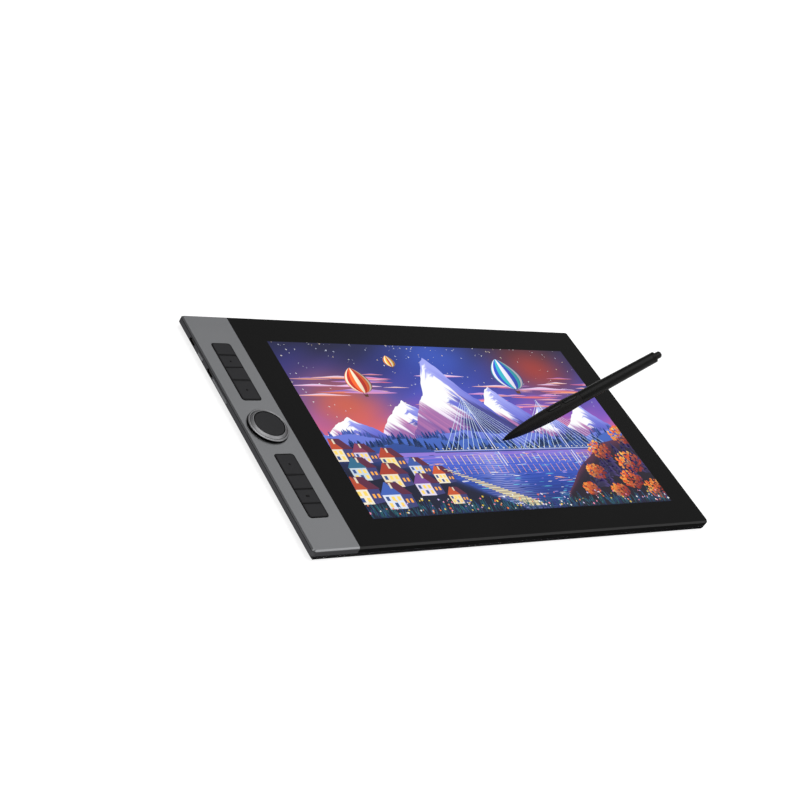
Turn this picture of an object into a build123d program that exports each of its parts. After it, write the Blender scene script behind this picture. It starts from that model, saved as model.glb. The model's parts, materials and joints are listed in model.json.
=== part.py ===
from build123d import *
import math
import os

# Pen display: a flat screen housing with a metal control strip down its left side. The strip
# carries two blocks of four keys and, between them, a dial around a touch disc. Ports and side
# buttons sit in the left wall. A pen stands over the screen with its nib at the glass.
# Frame: X to the right, Y to the back, Z up. The origin is under the middle of the housing, on
# the surface that the housing lies on. Millimetres.

# Lit screen and the black margins round it
screen_width = 341.3
screen_height = 192.0
screen_left_margin = 26.65
screen_right_margin = 29.35
screen_front_margin = 26.4
screen_back_margin = 28.2

# Dial hole, and the land of the control strip on each side of it
dial_hole_radius = 17.4
strip_land = 3.25
edge_chamfer = 1.4

# Housing, seen from above
strip_width = edge_chamfer + 2 * (dial_hole_radius + strip_land)
body_width = strip_width + screen_left_margin + screen_width + screen_right_margin
body_depth = screen_front_margin + screen_height + screen_back_margin
corner_radius = 3.2
seam_gap = 0.15

# Walls of the housing
foot_height = 1.2
plate_thickness = 1.5
tape_thickness = 0.2
side_undercut = 4.5
bottom_break = 0.8
cover_floor = 1.2
cover_wall = 1.6
skirt_wall = 1.6

# Rubber foot strips under the rear cover
foot_end_inset = 105.0
foot_edge_inset = 71.3
foot_width = 12.0
foot_seat_depth = 0.3

# Sheets behind the screen, and the room for the boards under them
bond_thickness = 0.2
cell_thickness = 1.0
film_thickness = 0.4
guide_thickness = 1.3
reflector_thickness = 0.2
tray_thickness = 0.4
sensor_thickness = 0.9
shield_thickness = 0.4
board_space = 2.3
cell_margin = 4.0
cell_ledge = 3.0
sheet_margin = 2.5
sheet_gap = 0.25
led_bar_width = 1.9
led_count = 48
led_length = 3.0
led_share = 0.45
opening_gap = 0.5

# Black frame that carries the glass
frame_wall = 2.0
frame_rim = 1.6
frame_flange = 1.4
frame_tongue = 8.0
frame_rib = 1.2
frame_rib_count = 6

# Ribs and posts inside the rear cover
rib_thickness = 1.2
rib_count = 7
post_radius = 2.2
board_thickness = 0.8
board_foot = 0.5
board_gap = 0.6
main_board_width = 92.0
main_board_depth = 70.0
main_board_inset = 9.0
chip_height = 0.8
connector_height = 0.5
connector_depth = 4.0
flex_thickness = 0.15
flex_width = 30.0
key_flex_width = 12.0
side_flex_lap = 2.5
screw_radius = 0.8
screw_head_radius = 1.6
screw_head_height = 0.6
screw_length = 1.6
screw_fit = 0.05

# Key blocks
block_width = 18.6
block_length = 64.0
block_land = 10.6
block_radius = 3.0
near_key_length = 22.0
key_gap = 0.25
key_proud = 0.5
key_edge = 0.35
key_flange = 0.7
key_flange_reach = 0.8
key_lift_gap = 0.2
key_nub = 0.3
key_nub_radius = 1.6
key_travel = 0.5
press_gap = 0.1
switch_height = 1.3
switch_size = 4.8
switch_cap_radius = 1.2
mark_radius = 0.9
mark_length = 3.4
mark_height = 0.3

# Dial
dial_gap = 0.3
dial_outer_rise = 2.1
dial_inner_rise = 3.6
dial_bevel_width = 0.8
dial_bevel_drop = 0.6
dial_groove_width = 0.4
dial_groove_depth = 0.25
dial_lip_width = 0.5
dial_ring_width = 4.0
dial_skirt_depth = 0.7
dial_skirt_wall = 1.5
journal_fit = 0.05
bearing_thickness = 1.0
bearing_gap = 0.3
washer_thickness = 0.4
hub_gap = 1.45
hub_shoulder = 2.0
hub_foot_reach = 0.7
hub_foot_height = 0.8
hub_bore_radius = 4.0
magnet_wall = 1.5
magnet_gap = 0.7
hall_height = 1.2
hall_size = 2.0
touch_gap = 0.4
carrier_thickness = 0.8
carrier_spigot = 1.6
carrier_fit = 0.1
touch_board_thickness = 0.6
touch_disc_recess = 0.15
touch_dish = 0.25

# Ports and buttons in the left wall, in from the back edge and from the first port
port_inset = 27.6
second_port_pitch = 35.1
power_pitch = 17.1
rocker_pitch = 55.1
port_land = 0.22
port_width = 8.94
port_height = 3.26
port_wall = 0.3
port_depth = 7.3
port_recess = 0.4
port_gap = 0.2
port_tongue_width = 6.69
port_tongue_height = 0.7
power_length = 9.0
rocker_length = 27.0
side_button_height = 2.4
side_button_proud = 0.35
side_button_gap = 0.25
side_flange = 0.6
side_flange_reach = 0.4
side_travel = 0.4
rocker_switch_reach = 9.5
rocker_stem_length = 3.2
rocker_pin_radius = 0.6
rocker_pin_fit = 0.05
bracket_wall = 0.45
side_board_width = 8.6
side_board_margin = 6.0
side_switch_depth = 2.4
side_switch_length = 4.2

# Pen, sizes along its own axis from the tip
pen_length = 159.3
pen_tilt = 40.0
pen_heading = 1.5
pen_button_turn = -8.0
pen_nib_x = 15.5
pen_nib_y = -19.3
nib_gap = 0.2
nib_radius = 0.9
nib_show = 2.4
nib_fit = 0.3
nib_travel = 1.0
nose_tip_radius = 1.55
nose_length = 14.6
nose_radius = 4.35
nose_spigot = 3.5
nose_wall = 1.0
grip_belly = 16.0
grip_radius = 5.8
grip_end_radius = 5.6
grip_tail = 3.3
barrel_end_radius = 4.85
tail_length = 3.2
tail_chamfer = 0.5
eraser_radius = 3.05
eraser_show = 6.1
eraser_hold = 4.0
eraser_dome = 2.4
eraser_travel = 0.8
eraser_fit = 0.3
core_length = 12.0
core_radius = 2.4
coil_wall = 0.7
coil_gap = 0.3
coil_end = 2.0
sensor_body_length = 10.0
pen_fit = 0.1
pen_board_width = 6.2
pen_board_fit = 0.9
pen_button_length = 13.0
pen_button_width = 4.6
pen_button_web = 2.2
pen_button_lead = 2.9
pen_button_proud = 0.35
pen_button_gap = 0.25
pen_button_travel = 0.5
pen_button_skin = 1.4
pen_stem_radius = 0.9
pen_switch_height = 1.2
pen_switch_size = 3.0

# How far a cutting tool runs past what it cuts
overrun = 6.0

# Levels of the housing, from the bottom up through its boards and sheets
bottom_z = foot_height
floor_z = bottom_z + cover_floor
shield_z = floor_z + board_space
sensor_z = shield_z + shield_thickness
tray_z = sensor_z + sensor_thickness
reflector_z = tray_z + tray_thickness
guide_z = reflector_z + reflector_thickness
film_z = guide_z + guide_thickness
cell_z = film_z + film_thickness
bond_z = cell_z + cell_thickness
plate_z = bond_z + bond_thickness
top_z = plate_z + plate_thickness
frame_top_z = plate_z - tape_thickness
flange_z = frame_top_z - frame_flange

# The seam between the rear cover and the walls above it leaves the ports their land
port_z = plate_z - port_land - port_gap - port_height / 2
seam_z = port_z - port_height / 2 - port_gap - port_land
rear_height = seam_z - bottom_z

# Places in the housing
left_x = -body_width / 2
right_x = body_width / 2
split_x = left_x + strip_width
screen_x = right_x - screen_right_margin - screen_width / 2
screen_y = -body_depth / 2 + screen_front_margin + screen_height / 2
key_x = (left_x + edge_chamfer + split_x) / 2
dial_y = screen_y
skirt_x = left_x + skirt_wall
port_y = body_depth / 2 - port_inset
second_port_y = port_y - second_port_pitch
power_y = port_y - power_pitch
rocker_y = port_y - rocker_pitch
block_offset = dial_hole_radius + block_land

# Places of the sheets behind the screen
cell_left = screen_x - screen_width / 2 - cell_margin
cell_right = screen_x + screen_width / 2 + cell_margin
cell_back = screen_y + screen_height / 2 + cell_margin + cell_ledge
cell_front = screen_y - screen_height / 2 - cell_margin
sheet_left = screen_x - screen_width / 2 - sheet_margin
sheet_right = screen_x + screen_width / 2 + sheet_margin
sheet_back = screen_y + screen_height / 2 + sheet_margin
sheet_front = screen_y - screen_height / 2 - sheet_margin
open_left = cell_left - opening_gap
open_right = cell_right + opening_gap
open_back = cell_back + opening_gap
tray_left = sheet_left - sheet_gap - tray_thickness
tray_right = sheet_right + sheet_gap + tray_thickness
tray_back = sheet_back + sheet_gap + tray_thickness
tray_front = sheet_front - sheet_gap - led_bar_width - tray_thickness
open_front = min(cell_front, tray_front) - opening_gap

# Levels of the keys and of the board under them
key_top_z = top_z + key_proud
key_flange_top = plate_z - key_lift_gap
key_flange_z = key_flange_top - key_flange
nub_z = key_flange_z - key_nub
switch_top_z = nub_z - key_travel - press_gap
board_top_z = switch_top_z - switch_height
board_z = board_top_z - board_thickness

# The dial, from its outside in
dial_radius = dial_hole_radius - dial_gap
dial_bore_radius = dial_radius - dial_ring_width
magnet_outer = dial_radius - dial_skirt_wall - journal_fit
hub_radius = magnet_outer - magnet_wall - hub_gap
hub_foot_radius = hub_radius + hub_foot_reach
journal_radius = hub_radius - hub_shoulder
dial_skirt_z = top_z - dial_skirt_depth
dial_edge_z = top_z + dial_outer_rise
dial_top_z = top_z + dial_inner_rise
disc_top_z = dial_top_z - touch_disc_recess

pieces = {}


def block(x_low, x_high, y_low, y_high, z_low, z_high):
    """A plain block between two corners."""
    middle = Pos((x_low + x_high) / 2, (y_low + y_high) / 2, (z_low + z_high) / 2)
    return middle * Box(x_high - x_low, y_high - y_low, z_high - z_low)


def rounded_block(x, y, width, depth, radius, z_low, z_high):
    """An upright block with rounded corners, centred at x and y."""
    return Pos(x, y, z_low) * extrude(RectangleRounded(width, depth, radius), z_high - z_low)


def disc(x, y, radius, z_low, z_high):
    """An upright cylinder."""
    return Pos(x, y, (z_low + z_high) / 2) * Cylinder(radius, z_high - z_low)


def turned(points):
    """A solid turned about the Z axis from an outline of radius and height pairs."""
    return revolve(make_face(Polyline([(r, 0, z) for r, z in points], close=True)), Axis.Z)


def side_slot(y, z, width, height, x_low, x_high):
    """A bar along X with a round-ended section, as wide as width along Y."""
    bar = extrude(Plane.YZ * SlotOverall(width, height), x_high - x_low)
    return Pos(x_low, y, z) * bar


def joined(shapes):
    """All shapes fused to one."""
    whole = shapes[0]
    for shape in shapes[1:]:
        whole = whole + shape
    return whole


def outline(inset, z_low, z_high):
    """The outline of the housing seen from above, drawn in by inset."""
    radius = max(corner_radius - inset, corner_radius / 4)
    return rounded_block(0, 0, body_width - 2 * inset, body_depth - 2 * inset, radius, z_low, z_high)


def side_prism(inset, z_low, z_high):
    """The undercut side view of the rear cover, drawn in by inset, all along Y."""
    slope = side_undercut / rear_height
    low = right_x - inset - slope * (seam_z - z_low)
    high = right_x - inset - slope * (seam_z - z_high)
    corners = [(-low, z_low), (low, z_low), (high, z_high), (-high, z_high)]
    view = Plane.XZ * make_face(Polyline(corners, close=True))
    return extrude(view, body_depth / 2, both=True)


# Rear cover: an aluminium tray whose left and right walls lean in towards the bottom
slant_wall = cover_wall * math.hypot(side_undercut, rear_height) / rear_height
cover = outline(0, bottom_z, seam_z) & side_prism(0, bottom_z, seam_z)
for side in (-1, 1):
    edge_y = side * body_depth / 2
    corner = make_face(Polyline([
        (0, edge_y, bottom_z),
        (0, edge_y - side * bottom_break, bottom_z),
        (0, edge_y, bottom_z + bottom_break),
    ], close=True))
    cover = cover - extrude(corner, body_width / 2, dir=(1, 0, 0), both=True)
hollow = outline(cover_wall, floor_z, seam_z) & side_prism(slant_wall, floor_z, seam_z)
cover = cover - hollow

# Ribs stand on the floor under the shield plate, clear of the main board's bay
bay_left = open_left + main_board_inset
bay_right = bay_left + main_board_width
bay_back = open_back - main_board_inset
bay_front = bay_back - main_board_depth
ribs = []
rib_left = open_left + rib_thickness
rib_right = open_right - rib_thickness
rib_back = open_back - rib_thickness
rib_front = open_front + rib_thickness
for index in range(rib_count):
    place = (index + 0.5) / rib_count
    rib_x = rib_left + place * (rib_right - rib_left)
    in_bay = bay_left - rib_thickness < rib_x < bay_right + rib_thickness
    top_y = bay_front - rib_thickness if in_bay else rib_back
    ribs.append(block(rib_x - rib_thickness / 2, rib_x + rib_thickness / 2,
                      rib_front, top_y, floor_z, shield_z))
rib_row_shares = (0.16, 0.5)
for share in rib_row_shares:
    rib_y = rib_front + share * (bay_front - rib_front)
    ribs.append(block(rib_left, rib_right, rib_y - rib_thickness / 2, rib_y + rib_thickness / 2,
                      floor_z, shield_z))
cover = joined([cover] + ribs)


def screw_hole(x, y, seat_z):
    """The hole that a board screw runs in, from its seat down into the post."""
    return disc(x, y, screw_radius + screw_fit, seat_z - screw_length - screw_fit, seat_z + overrun)


def screw(x, y, seat_z):
    """A small pan-head screw with its head on the board at seat_z."""
    shank = disc(x, y, screw_radius, seat_z - screw_length, seat_z)
    return shank + disc(x, y, screw_head_radius, seat_z, seat_z + screw_head_height)


# Posts carry the main board, the key board and the side board
board_low_z = floor_z + board_foot
main_posts = [(x, y) for x in (bay_left + post_radius, bay_right - post_radius)
              for y in (bay_front + post_radius, bay_back - post_radius)]
key_board_left = key_x - block_width / 2 - key_gap
key_board_right = split_x - frame_tongue / 2
block_far = block_offset + block_length
key_board_reach = block_far + 2 * post_radius + board_gap
key_post_x = (key_board_left + key_board_right) / 2
key_posts = [(key_post_x, dial_y + side * place)
             for side in (-1, 1)
             for place in (block_offset - post_radius - board_gap, key_board_reach - post_radius)]
side_board_top = port_z - port_height / 2
side_board_z = side_board_top - board_thickness
side_board_right = key_board_left - board_gap
side_board_left = side_board_right - side_board_width
side_board_front = rocker_y - rocker_length / 2 - side_board_margin
side_board_back = port_y + port_width / 2 + side_board_margin
side_post_x = side_board_right - post_radius
side_posts = [(side_post_x, side_board_front + post_radius), (side_post_x, side_board_back - post_radius)]
main_top_z = board_low_z + board_thickness
posts = []
holes = []
for places, low_side, seat_z in ((main_posts, board_low_z, main_top_z), (key_posts, board_z, board_top_z),
                                 (side_posts, side_board_z, side_board_top)):
    for x, y in places:
        posts.append(disc(x, y, post_radius, floor_z, low_side))
        holes.append(screw_hole(x, y, seat_z))
cover = joined([cover] + posts) - joined(holes)

# Two long pockets in the underside seat the rubber strips
foot_length = body_width - 2 * foot_end_inset
foot_row = body_depth / 2 - foot_edge_inset
foot_rows = (-foot_row, foot_row)
strips = []
for foot_y in foot_rows:
    cover = cover - rounded_block(0, foot_y, foot_length + seam_gap * 2, foot_width + seam_gap * 2,
                                  foot_width / 2, bottom_z, bottom_z + foot_seat_depth)
    strip = rounded_block(0, foot_y, foot_length, foot_width, foot_width / 2 - seam_gap,
                          0, bottom_z + foot_seat_depth)
    strip = chamfer(strip.faces().sort_by(Axis.Z)[0].edges(), foot_height / 3)
    strips.append(strip)
pieces["rear_cover"] = cover
pieces["foot_strips"] = Compound(children=strips)

# Mid frame: black moulding from the split line to the right, with a wall round the outside,
# a rim round the screen opening and a flange between them that the glass is taped to
right_part = block(split_x, right_x + overrun, -body_depth, body_depth, seam_z, frame_top_z)
frame = outline(0, seam_z, frame_top_z) & right_part
trough = outline(frame_wall, seam_z, flange_z) & block(
    split_x + frame_wall, right_x, -body_depth, body_depth, seam_z, flange_z)
rim = block(open_left - frame_rim, open_right + frame_rim,
            open_front - frame_rim, open_back + frame_rim, seam_z, flange_z)
frame = frame - (trough - rim)
frame = frame - block(open_left, open_right, open_front, open_back, seam_z - overrun, top_z)
webs = []
for index in range(frame_rib_count):
    place = (index + 0.5) / frame_rib_count
    web_x = split_x + frame_wall + place * (right_x - frame_wall * 2 - split_x)
    webs.append(block(web_x - frame_rib / 2, web_x + frame_rib / 2,
                      open_back + frame_rim, body_depth / 2 - frame_wall, seam_z, flange_z))
    webs.append(block(web_x - frame_rib / 2, web_x + frame_rib / 2,
                      -body_depth / 2 + frame_wall, open_front - frame_rim, seam_z, flange_z))
tongue = block(split_x - frame_tongue / 2, split_x, -body_depth / 2 + skirt_wall + seam_gap,
               body_depth / 2 - skirt_wall - seam_gap, flange_z, frame_top_z)
dial_notch = disc(key_x, dial_y, dial_hole_radius, flange_z - overrun, top_z)
pieces["mid_frame"] = joined([frame, tongue - dial_notch] + webs)


def chamfered_top(solid, keep_out_x):
    """The outer top edges broken by the chamfer, but not the edge along the split line."""
    edges = [edge for edge in solid.faces().sort_by(Axis.Z)[-1].edges()
             if abs(edge.center().X - keep_out_x) > seam_gap * 2]
    return chamfer(edges, edge_chamfer)


# Cover glass, edge to edge over the black frame
glass_left = split_x + seam_gap
glass = outline(0, plate_z, top_z) & block(glass_left, right_x + overrun, -body_depth, body_depth,
                                           plate_z, top_z)
pieces["cover_glass"] = chamfered_top(glass, glass_left)

# Control strip: aluminium plate with a skirt on three sides
strip_right = split_x
plate = outline(0, plate_z, top_z) & block(left_x - overrun, strip_right, -body_depth, body_depth,
                                           plate_z, top_z)
plate = chamfered_top(plate, strip_right)
skirt = outline(0, seam_z, plate_z) - outline(skirt_wall, seam_z, plate_z)
skirt = skirt & block(left_x - overrun, strip_right, -body_depth, body_depth, seam_z, plate_z)
strip_body = plate + skirt
block_centres = [(key_x, dial_y + side * (block_offset + block_length / 2)) for side in (1, -1)]
for x, y in block_centres:
    strip_body = strip_body - rounded_block(x, y, block_width, block_length, block_radius,
                                            plate_z - overrun, top_z + overrun)
strip_body = strip_body - disc(key_x, dial_y, dial_hole_radius, plate_z - overrun, top_z + overrun)
wall_out = left_x - overrun
for y in (port_y, second_port_y):
    strip_body = strip_body - side_slot(y, port_z, port_width + 2 * port_gap, port_height + 2 * port_gap,
                                        wall_out, skirt_x + port_gap)
for y, length in ((power_y, power_length), (rocker_y, rocker_length)):
    strip_body = strip_body - side_slot(y, port_z, length + 2 * side_button_gap,
                                        side_button_height + 2 * side_button_gap,
                                        wall_out, skirt_x + side_button_gap)
pieces["control_strip"] = strip_body

# Tape between the frame and the two plates
tape = outline(frame_wall, frame_top_z, plate_z) & block(
    split_x - frame_tongue / 2, right_x, -body_depth, body_depth, frame_top_z, plate_z)
tape = tape - block(open_left, open_right, open_front, open_back, frame_top_z - overrun, top_z)
tape = tape - dial_notch
pieces["mounting_tape"] = tape

# Screen sheets, from the glass down
pieces["optical_bond"] = block(cell_left, cell_right, cell_front, cell_back - cell_ledge, bond_z, plate_z)
pieces["lcd_cell"] = block(cell_left, cell_right, cell_front, cell_back, cell_z, bond_z)
pieces["film_stack"] = block(sheet_left, sheet_right, sheet_front, sheet_back, film_z, cell_z)
pieces["light_guide"] = block(sheet_left, sheet_right, sheet_front, sheet_back, guide_z, film_z)
pieces["reflector"] = block(sheet_left, sheet_right, sheet_front, sheet_back, reflector_z, guide_z)

# Backlight tray: folded steel, its walls reach up to the cell
tray = block(tray_left, tray_right, tray_front, tray_back, tray_z, cell_z)
tray = tray - block(tray_left + tray_thickness, tray_right - tray_thickness,
                    tray_front + tray_thickness, tray_back - tray_thickness,
                    reflector_z, cell_z)
pieces["backlight_tray"] = tray

# Light bar: a narrow board against the tray's front wall, with a row of emitters
led_back = tray_front + tray_thickness + led_bar_width
led_board_back = led_back - led_share * led_bar_width
bar = [block(sheet_left, sheet_right, tray_front + tray_thickness, led_board_back, reflector_z, film_z)]
pitch = (sheet_right - sheet_left) / led_count
for index in range(led_count):
    led_x = sheet_left + (index + 0.5) * pitch
    bar.append(block(led_x - led_length / 2, led_x + led_length / 2, led_board_back, led_back,
                     guide_z, film_z))
pieces["led_bar"] = joined(bar)

# Pen sensor board behind the tray, and the shield plate behind that
pieces["pen_sensor_board"] = block(cell_left, cell_right, tray_front, tray_back, sensor_z, tray_z)
pieces["shield_plate"] = block(cell_left, cell_right, tray_front, tray_back, shield_z, sensor_z)

# Main board in its bay, with its chips
main_board = block(bay_left, bay_right, bay_front, bay_back, board_low_z, main_top_z)
pieces["main_board"] = main_board - joined([screw_hole(x, y, main_top_z) for x, y in main_posts])
chips = []
chip_shares = ((0.25, 0.62, 0.20, 0.26), (0.62, 0.66, 0.16, 0.20), (0.45, 0.28, 0.12, 0.12),
               (0.74, 0.30, 0.10, 0.14), (0.22, 0.24, 0.12, 0.10))
for x_share, y_share, width_share, depth_share in chip_shares:
    chip_x = bay_left + x_share * main_board_width
    chip_y = bay_front + y_share * main_board_depth
    chips.append(block(chip_x - width_share * main_board_width / 2,
                       chip_x + width_share * main_board_width / 2,
                       chip_y - depth_share * main_board_depth / 2,
                       chip_y + depth_share * main_board_depth / 2,
                       main_top_z, main_top_z + chip_height))
flex_z = main_top_z + connector_height
display_flex_x = (bay_left + bay_right) / 2
key_flex_y = bay_front + main_board_depth / 2
chips.append(block(display_flex_x - flex_width / 2, display_flex_x + flex_width / 2,
                   bay_back - connector_depth, bay_back, main_top_z, flex_z))
chips.append(block(bay_left, bay_left + connector_depth,
                   key_flex_y - key_flex_width / 2, key_flex_y + key_flex_width / 2, main_top_z, flex_z))
pieces["main_board_chips"] = Compound(children=chips)

# Display flex: from the cell's rear ledge, down behind the tray, to its connector
flex_back = cell_back - opening_gap
flex_left = display_flex_x - flex_width / 2
flex_right = display_flex_x + flex_width / 2
pieces["display_flex"] = joined([
    block(flex_left, flex_right, tray_back, flex_back, cell_z - flex_thickness, cell_z),
    block(flex_left, flex_right, flex_back - flex_thickness, flex_back, flex_z, cell_z),
    block(flex_left, flex_right, bay_back - connector_depth, flex_back, flex_z, flex_z + flex_thickness),
])

# Key flex: from under the key board, beneath the frame, to its connector
key_flex_front = key_flex_y - key_flex_width / 2
key_flex_back = key_flex_y + key_flex_width / 2
key_flex_drop = key_board_right - flex_thickness
pieces["key_flex"] = joined([
    block(key_board_right - connector_depth, key_board_right, key_flex_front, key_flex_back,
          board_z - flex_thickness, board_z),
    block(key_flex_drop, key_board_right, key_flex_front, key_flex_back, flex_z, board_z),
    block(key_flex_drop, bay_left + connector_depth, key_flex_front, key_flex_back,
          flex_z, flex_z + flex_thickness),
])

# Side board with its two ports and three switches
side_board = block(side_board_left, side_board_right, side_board_front, side_board_back,
                   side_board_z, side_board_top)
pieces["side_board"] = side_board - joined([screw_hole(x, y, side_board_top) for x, y in side_posts])

# Side flex: a short strip under both boards
side_flex_y = (port_y + second_port_y) / 2
side_flex_front = side_flex_y - key_flex_width / 2
side_flex_back = side_flex_y + key_flex_width / 2
side_flex_step = (side_board_right + key_board_left) / 2
pieces["side_flex"] = joined([
    block(side_board_right - side_flex_lap, side_flex_step, side_flex_front, side_flex_back,
          side_board_z - flex_thickness, side_board_z),
    block(side_flex_step - flex_thickness, side_flex_step, side_flex_front, side_flex_back,
          side_board_z - flex_thickness, board_z),
    block(side_flex_step - flex_thickness, key_board_left + side_flex_lap, side_flex_front, side_flex_back,
          board_z - flex_thickness, board_z),
])
port_front_x = left_x + port_recess
ports = []
for y in (port_y, second_port_y):
    shell = side_slot(y, port_z, port_width, port_height, port_front_x, port_front_x + port_depth)
    shell = shell - side_slot(y, port_z, port_width - 2 * port_wall, port_height - 2 * port_wall,
                              port_front_x - overrun, port_front_x + port_depth - port_wall * 4)
    tongue_bar = block(port_front_x + port_wall * 2, port_front_x + port_depth - port_wall * 4,
                       y - port_tongue_width / 2, y + port_tongue_width / 2,
                       port_z - port_tongue_height / 2, port_z + port_tongue_height / 2)
    ports.append(shell + tongue_bar)
pieces["usb_ports"] = Compound(children=ports)

# Power button: a round-ended cap through the wall, with a flange behind it
button_out = left_x - side_button_proud
flange_x = skirt_x + press_gap
flange_back_x = flange_x + side_flange
power = side_slot(power_y, port_z, power_length, side_button_height, button_out, flange_x)
power = power + side_slot(power_y, port_z, power_length + 2 * side_flange_reach + 2 * side_button_gap,
                          side_button_height + side_flange_reach, flange_x, flange_back_x)
pieces["power_button"] = power
side_switch_x = flange_back_x + side_travel + press_gap
side_switch_places = (power_y, rocker_y - rocker_switch_reach, rocker_y + rocker_switch_reach)
side_switches = [block(side_switch_x, side_switch_x + side_switch_depth,
                       y - side_switch_length / 2, y + side_switch_length / 2,
                       side_board_top, port_z + side_button_height / 2)
                 for y in side_switch_places]
pieces["side_switches"] = Compound(children=side_switches)

# Rocker: a long bar that tips about an upright pin behind its middle
rocker_back_x = flange_back_x - side_flange / 2
pin_x = rocker_back_x + rocker_stem_length / 2
rocker = side_slot(rocker_y, port_z, rocker_length, side_button_height, button_out, rocker_back_x)
stem_half = rocker_stem_length / 2
stem = block(rocker_back_x, pin_x + stem_half, rocker_y - stem_half, rocker_y + stem_half,
             port_z - side_button_height / 2, port_z + side_button_height / 2)
rocker = rocker + stem
rocker = rocker - disc(pin_x, rocker_y, rocker_pin_radius + rocker_pin_fit, seam_z, plate_z)
pieces["brightness_rocker"] = rocker
ear_top_z = port_z + side_button_height / 2 + press_gap
ear_low_z = port_z - side_button_height / 2 - press_gap
bracket_back_x = pin_x + stem_half + press_gap * 3
bracket = block(pin_x - stem_half / 2, bracket_back_x + bracket_wall, rocker_y - stem_half / 2,
                rocker_y + stem_half / 2, side_board_top, ear_top_z + bracket_wall)
bracket = bracket - block(pin_x - stem_half, bracket_back_x, rocker_y - stem_half, rocker_y + stem_half,
                          ear_low_z, ear_top_z)
pin_hole = disc(pin_x, rocker_y, rocker_pin_radius, side_board_top, ear_top_z + bracket_wall)
pieces["rocker_bracket"] = bracket - pin_hole
pieces["rocker_pin"] = pin_hole

# Key board and its switches
key_board = block(key_board_left, key_board_right, dial_y - key_board_reach, dial_y + key_board_reach,
                  board_z, board_top_z)
key_board = key_board - disc(key_x, dial_y, hub_bore_radius, board_z - overrun, board_top_z + overrun)
pieces["key_board"] = key_board - joined([screw_hole(x, y, board_top_z) for x, y in key_posts])

# Screws hold the three boards down on their posts
screws = [screw(x, y, main_top_z) for x, y in main_posts]
screws += [screw(x, y, board_top_z) for x, y in key_posts]
screws += [screw(x, y, side_board_top) for x, y in side_posts]
pieces["board_screws"] = Compound(children=screws)


def key_spans():
    """The near and far end of each of a block's four keys, measured from the dial."""
    far_length = (block_length - near_key_length) / 3
    spans = [(block_offset, block_offset + near_key_length)]
    for index in range(3):
        start = block_offset + near_key_length + index * far_length
        spans.append((start, start + far_length))
    return spans


def key_cap(side, near, far, mark):
    """One key cap: a slab of the block with a flange under the strip and a nub below."""
    low = dial_y + min(side * near, side * far)
    high = dial_y + max(side * near, side * far)
    centre = (low + high) / 2
    window_y = dial_y + side * (block_offset + block_length / 2)
    inner = rounded_block(key_x, window_y, block_width - 2 * key_gap, block_length - 2 * key_gap,
                          block_radius - key_gap, key_flange_z, key_top_z)
    slab = block(left_x, split_x, low + key_gap / 2, high - key_gap / 2, key_flange_z, key_top_z)
    cap = inner & slab
    cap = chamfer(cap.faces().sort_by(Axis.Z)[-1].edges(), key_edge)
    reach = block_width / 2 + key_flange_reach
    flange = block(key_x - reach, key_x + reach, low + key_edge + block_radius / 2,
                   high - key_edge - block_radius / 2, key_flange_z, key_flange_top)
    cap = cap + flange + disc(key_x, centre, key_nub_radius, nub_z, key_flange_z)
    if mark == "dot":
        cap = cap + disc(key_x, centre, mark_radius, key_top_z, key_top_z + mark_height)
    if mark == "bar":
        cap = cap + rounded_block(key_x, centre, mark_length, mark_radius * 2, mark_radius / 2,
                                  key_top_z, key_top_z + mark_height)
    return cap


switches = []
for side_name, side, marks in (("back", 1, ("dot", "", "dot", "")), ("front", -1, ("dot", "", "bar", ""))):
    for number, ((near, far), mark) in enumerate(zip(key_spans(), marks), start=1):
        pieces[f"key_{side_name}_{number}"] = key_cap(side, near, far, mark)
        key_y = dial_y + side * (near + far) / 2
        half = switch_size / 2
        body = block(key_x - half, key_x + half, key_y - half, key_y + half,
                     board_top_z, switch_top_z - key_nub)
        switches.append(body + disc(key_x, key_y, switch_cap_radius, switch_top_z - key_nub, switch_top_z))
pieces["key_switches"] = Compound(children=switches)

# Dial hub: stands on the key board, its journal carries the ring
carrier_z = disc_top_z - touch_dish - touch_board_thickness - carrier_thickness - touch_gap
bearing_z = carrier_z - bearing_gap - bearing_thickness
washer_z = bearing_z - journal_fit - washer_thickness
hub = turned([
    (hub_bore_radius, board_top_z),
    (hub_foot_radius, board_top_z),
    (hub_foot_radius, board_top_z + hub_foot_height),
    (hub_radius, board_top_z + hub_foot_height),
    (hub_radius, washer_z),
    (journal_radius, washer_z),
    (journal_radius, carrier_z),
    (hub_bore_radius + carrier_fit, carrier_z),
    (hub_bore_radius + carrier_fit, carrier_z - carrier_spigot),
    (hub_bore_radius, carrier_z - carrier_spigot),
])
dial_spot = Pos(key_x, dial_y, 0)
pieces["dial_hub"] = dial_spot * hub
pieces["dial_washer"] = dial_spot * turned([
    (journal_radius + journal_fit, washer_z),
    (hub_radius - journal_fit, washer_z),
    (hub_radius - journal_fit, washer_z + washer_thickness),
    (journal_radius + journal_fit, washer_z + washer_thickness),
])

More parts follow.
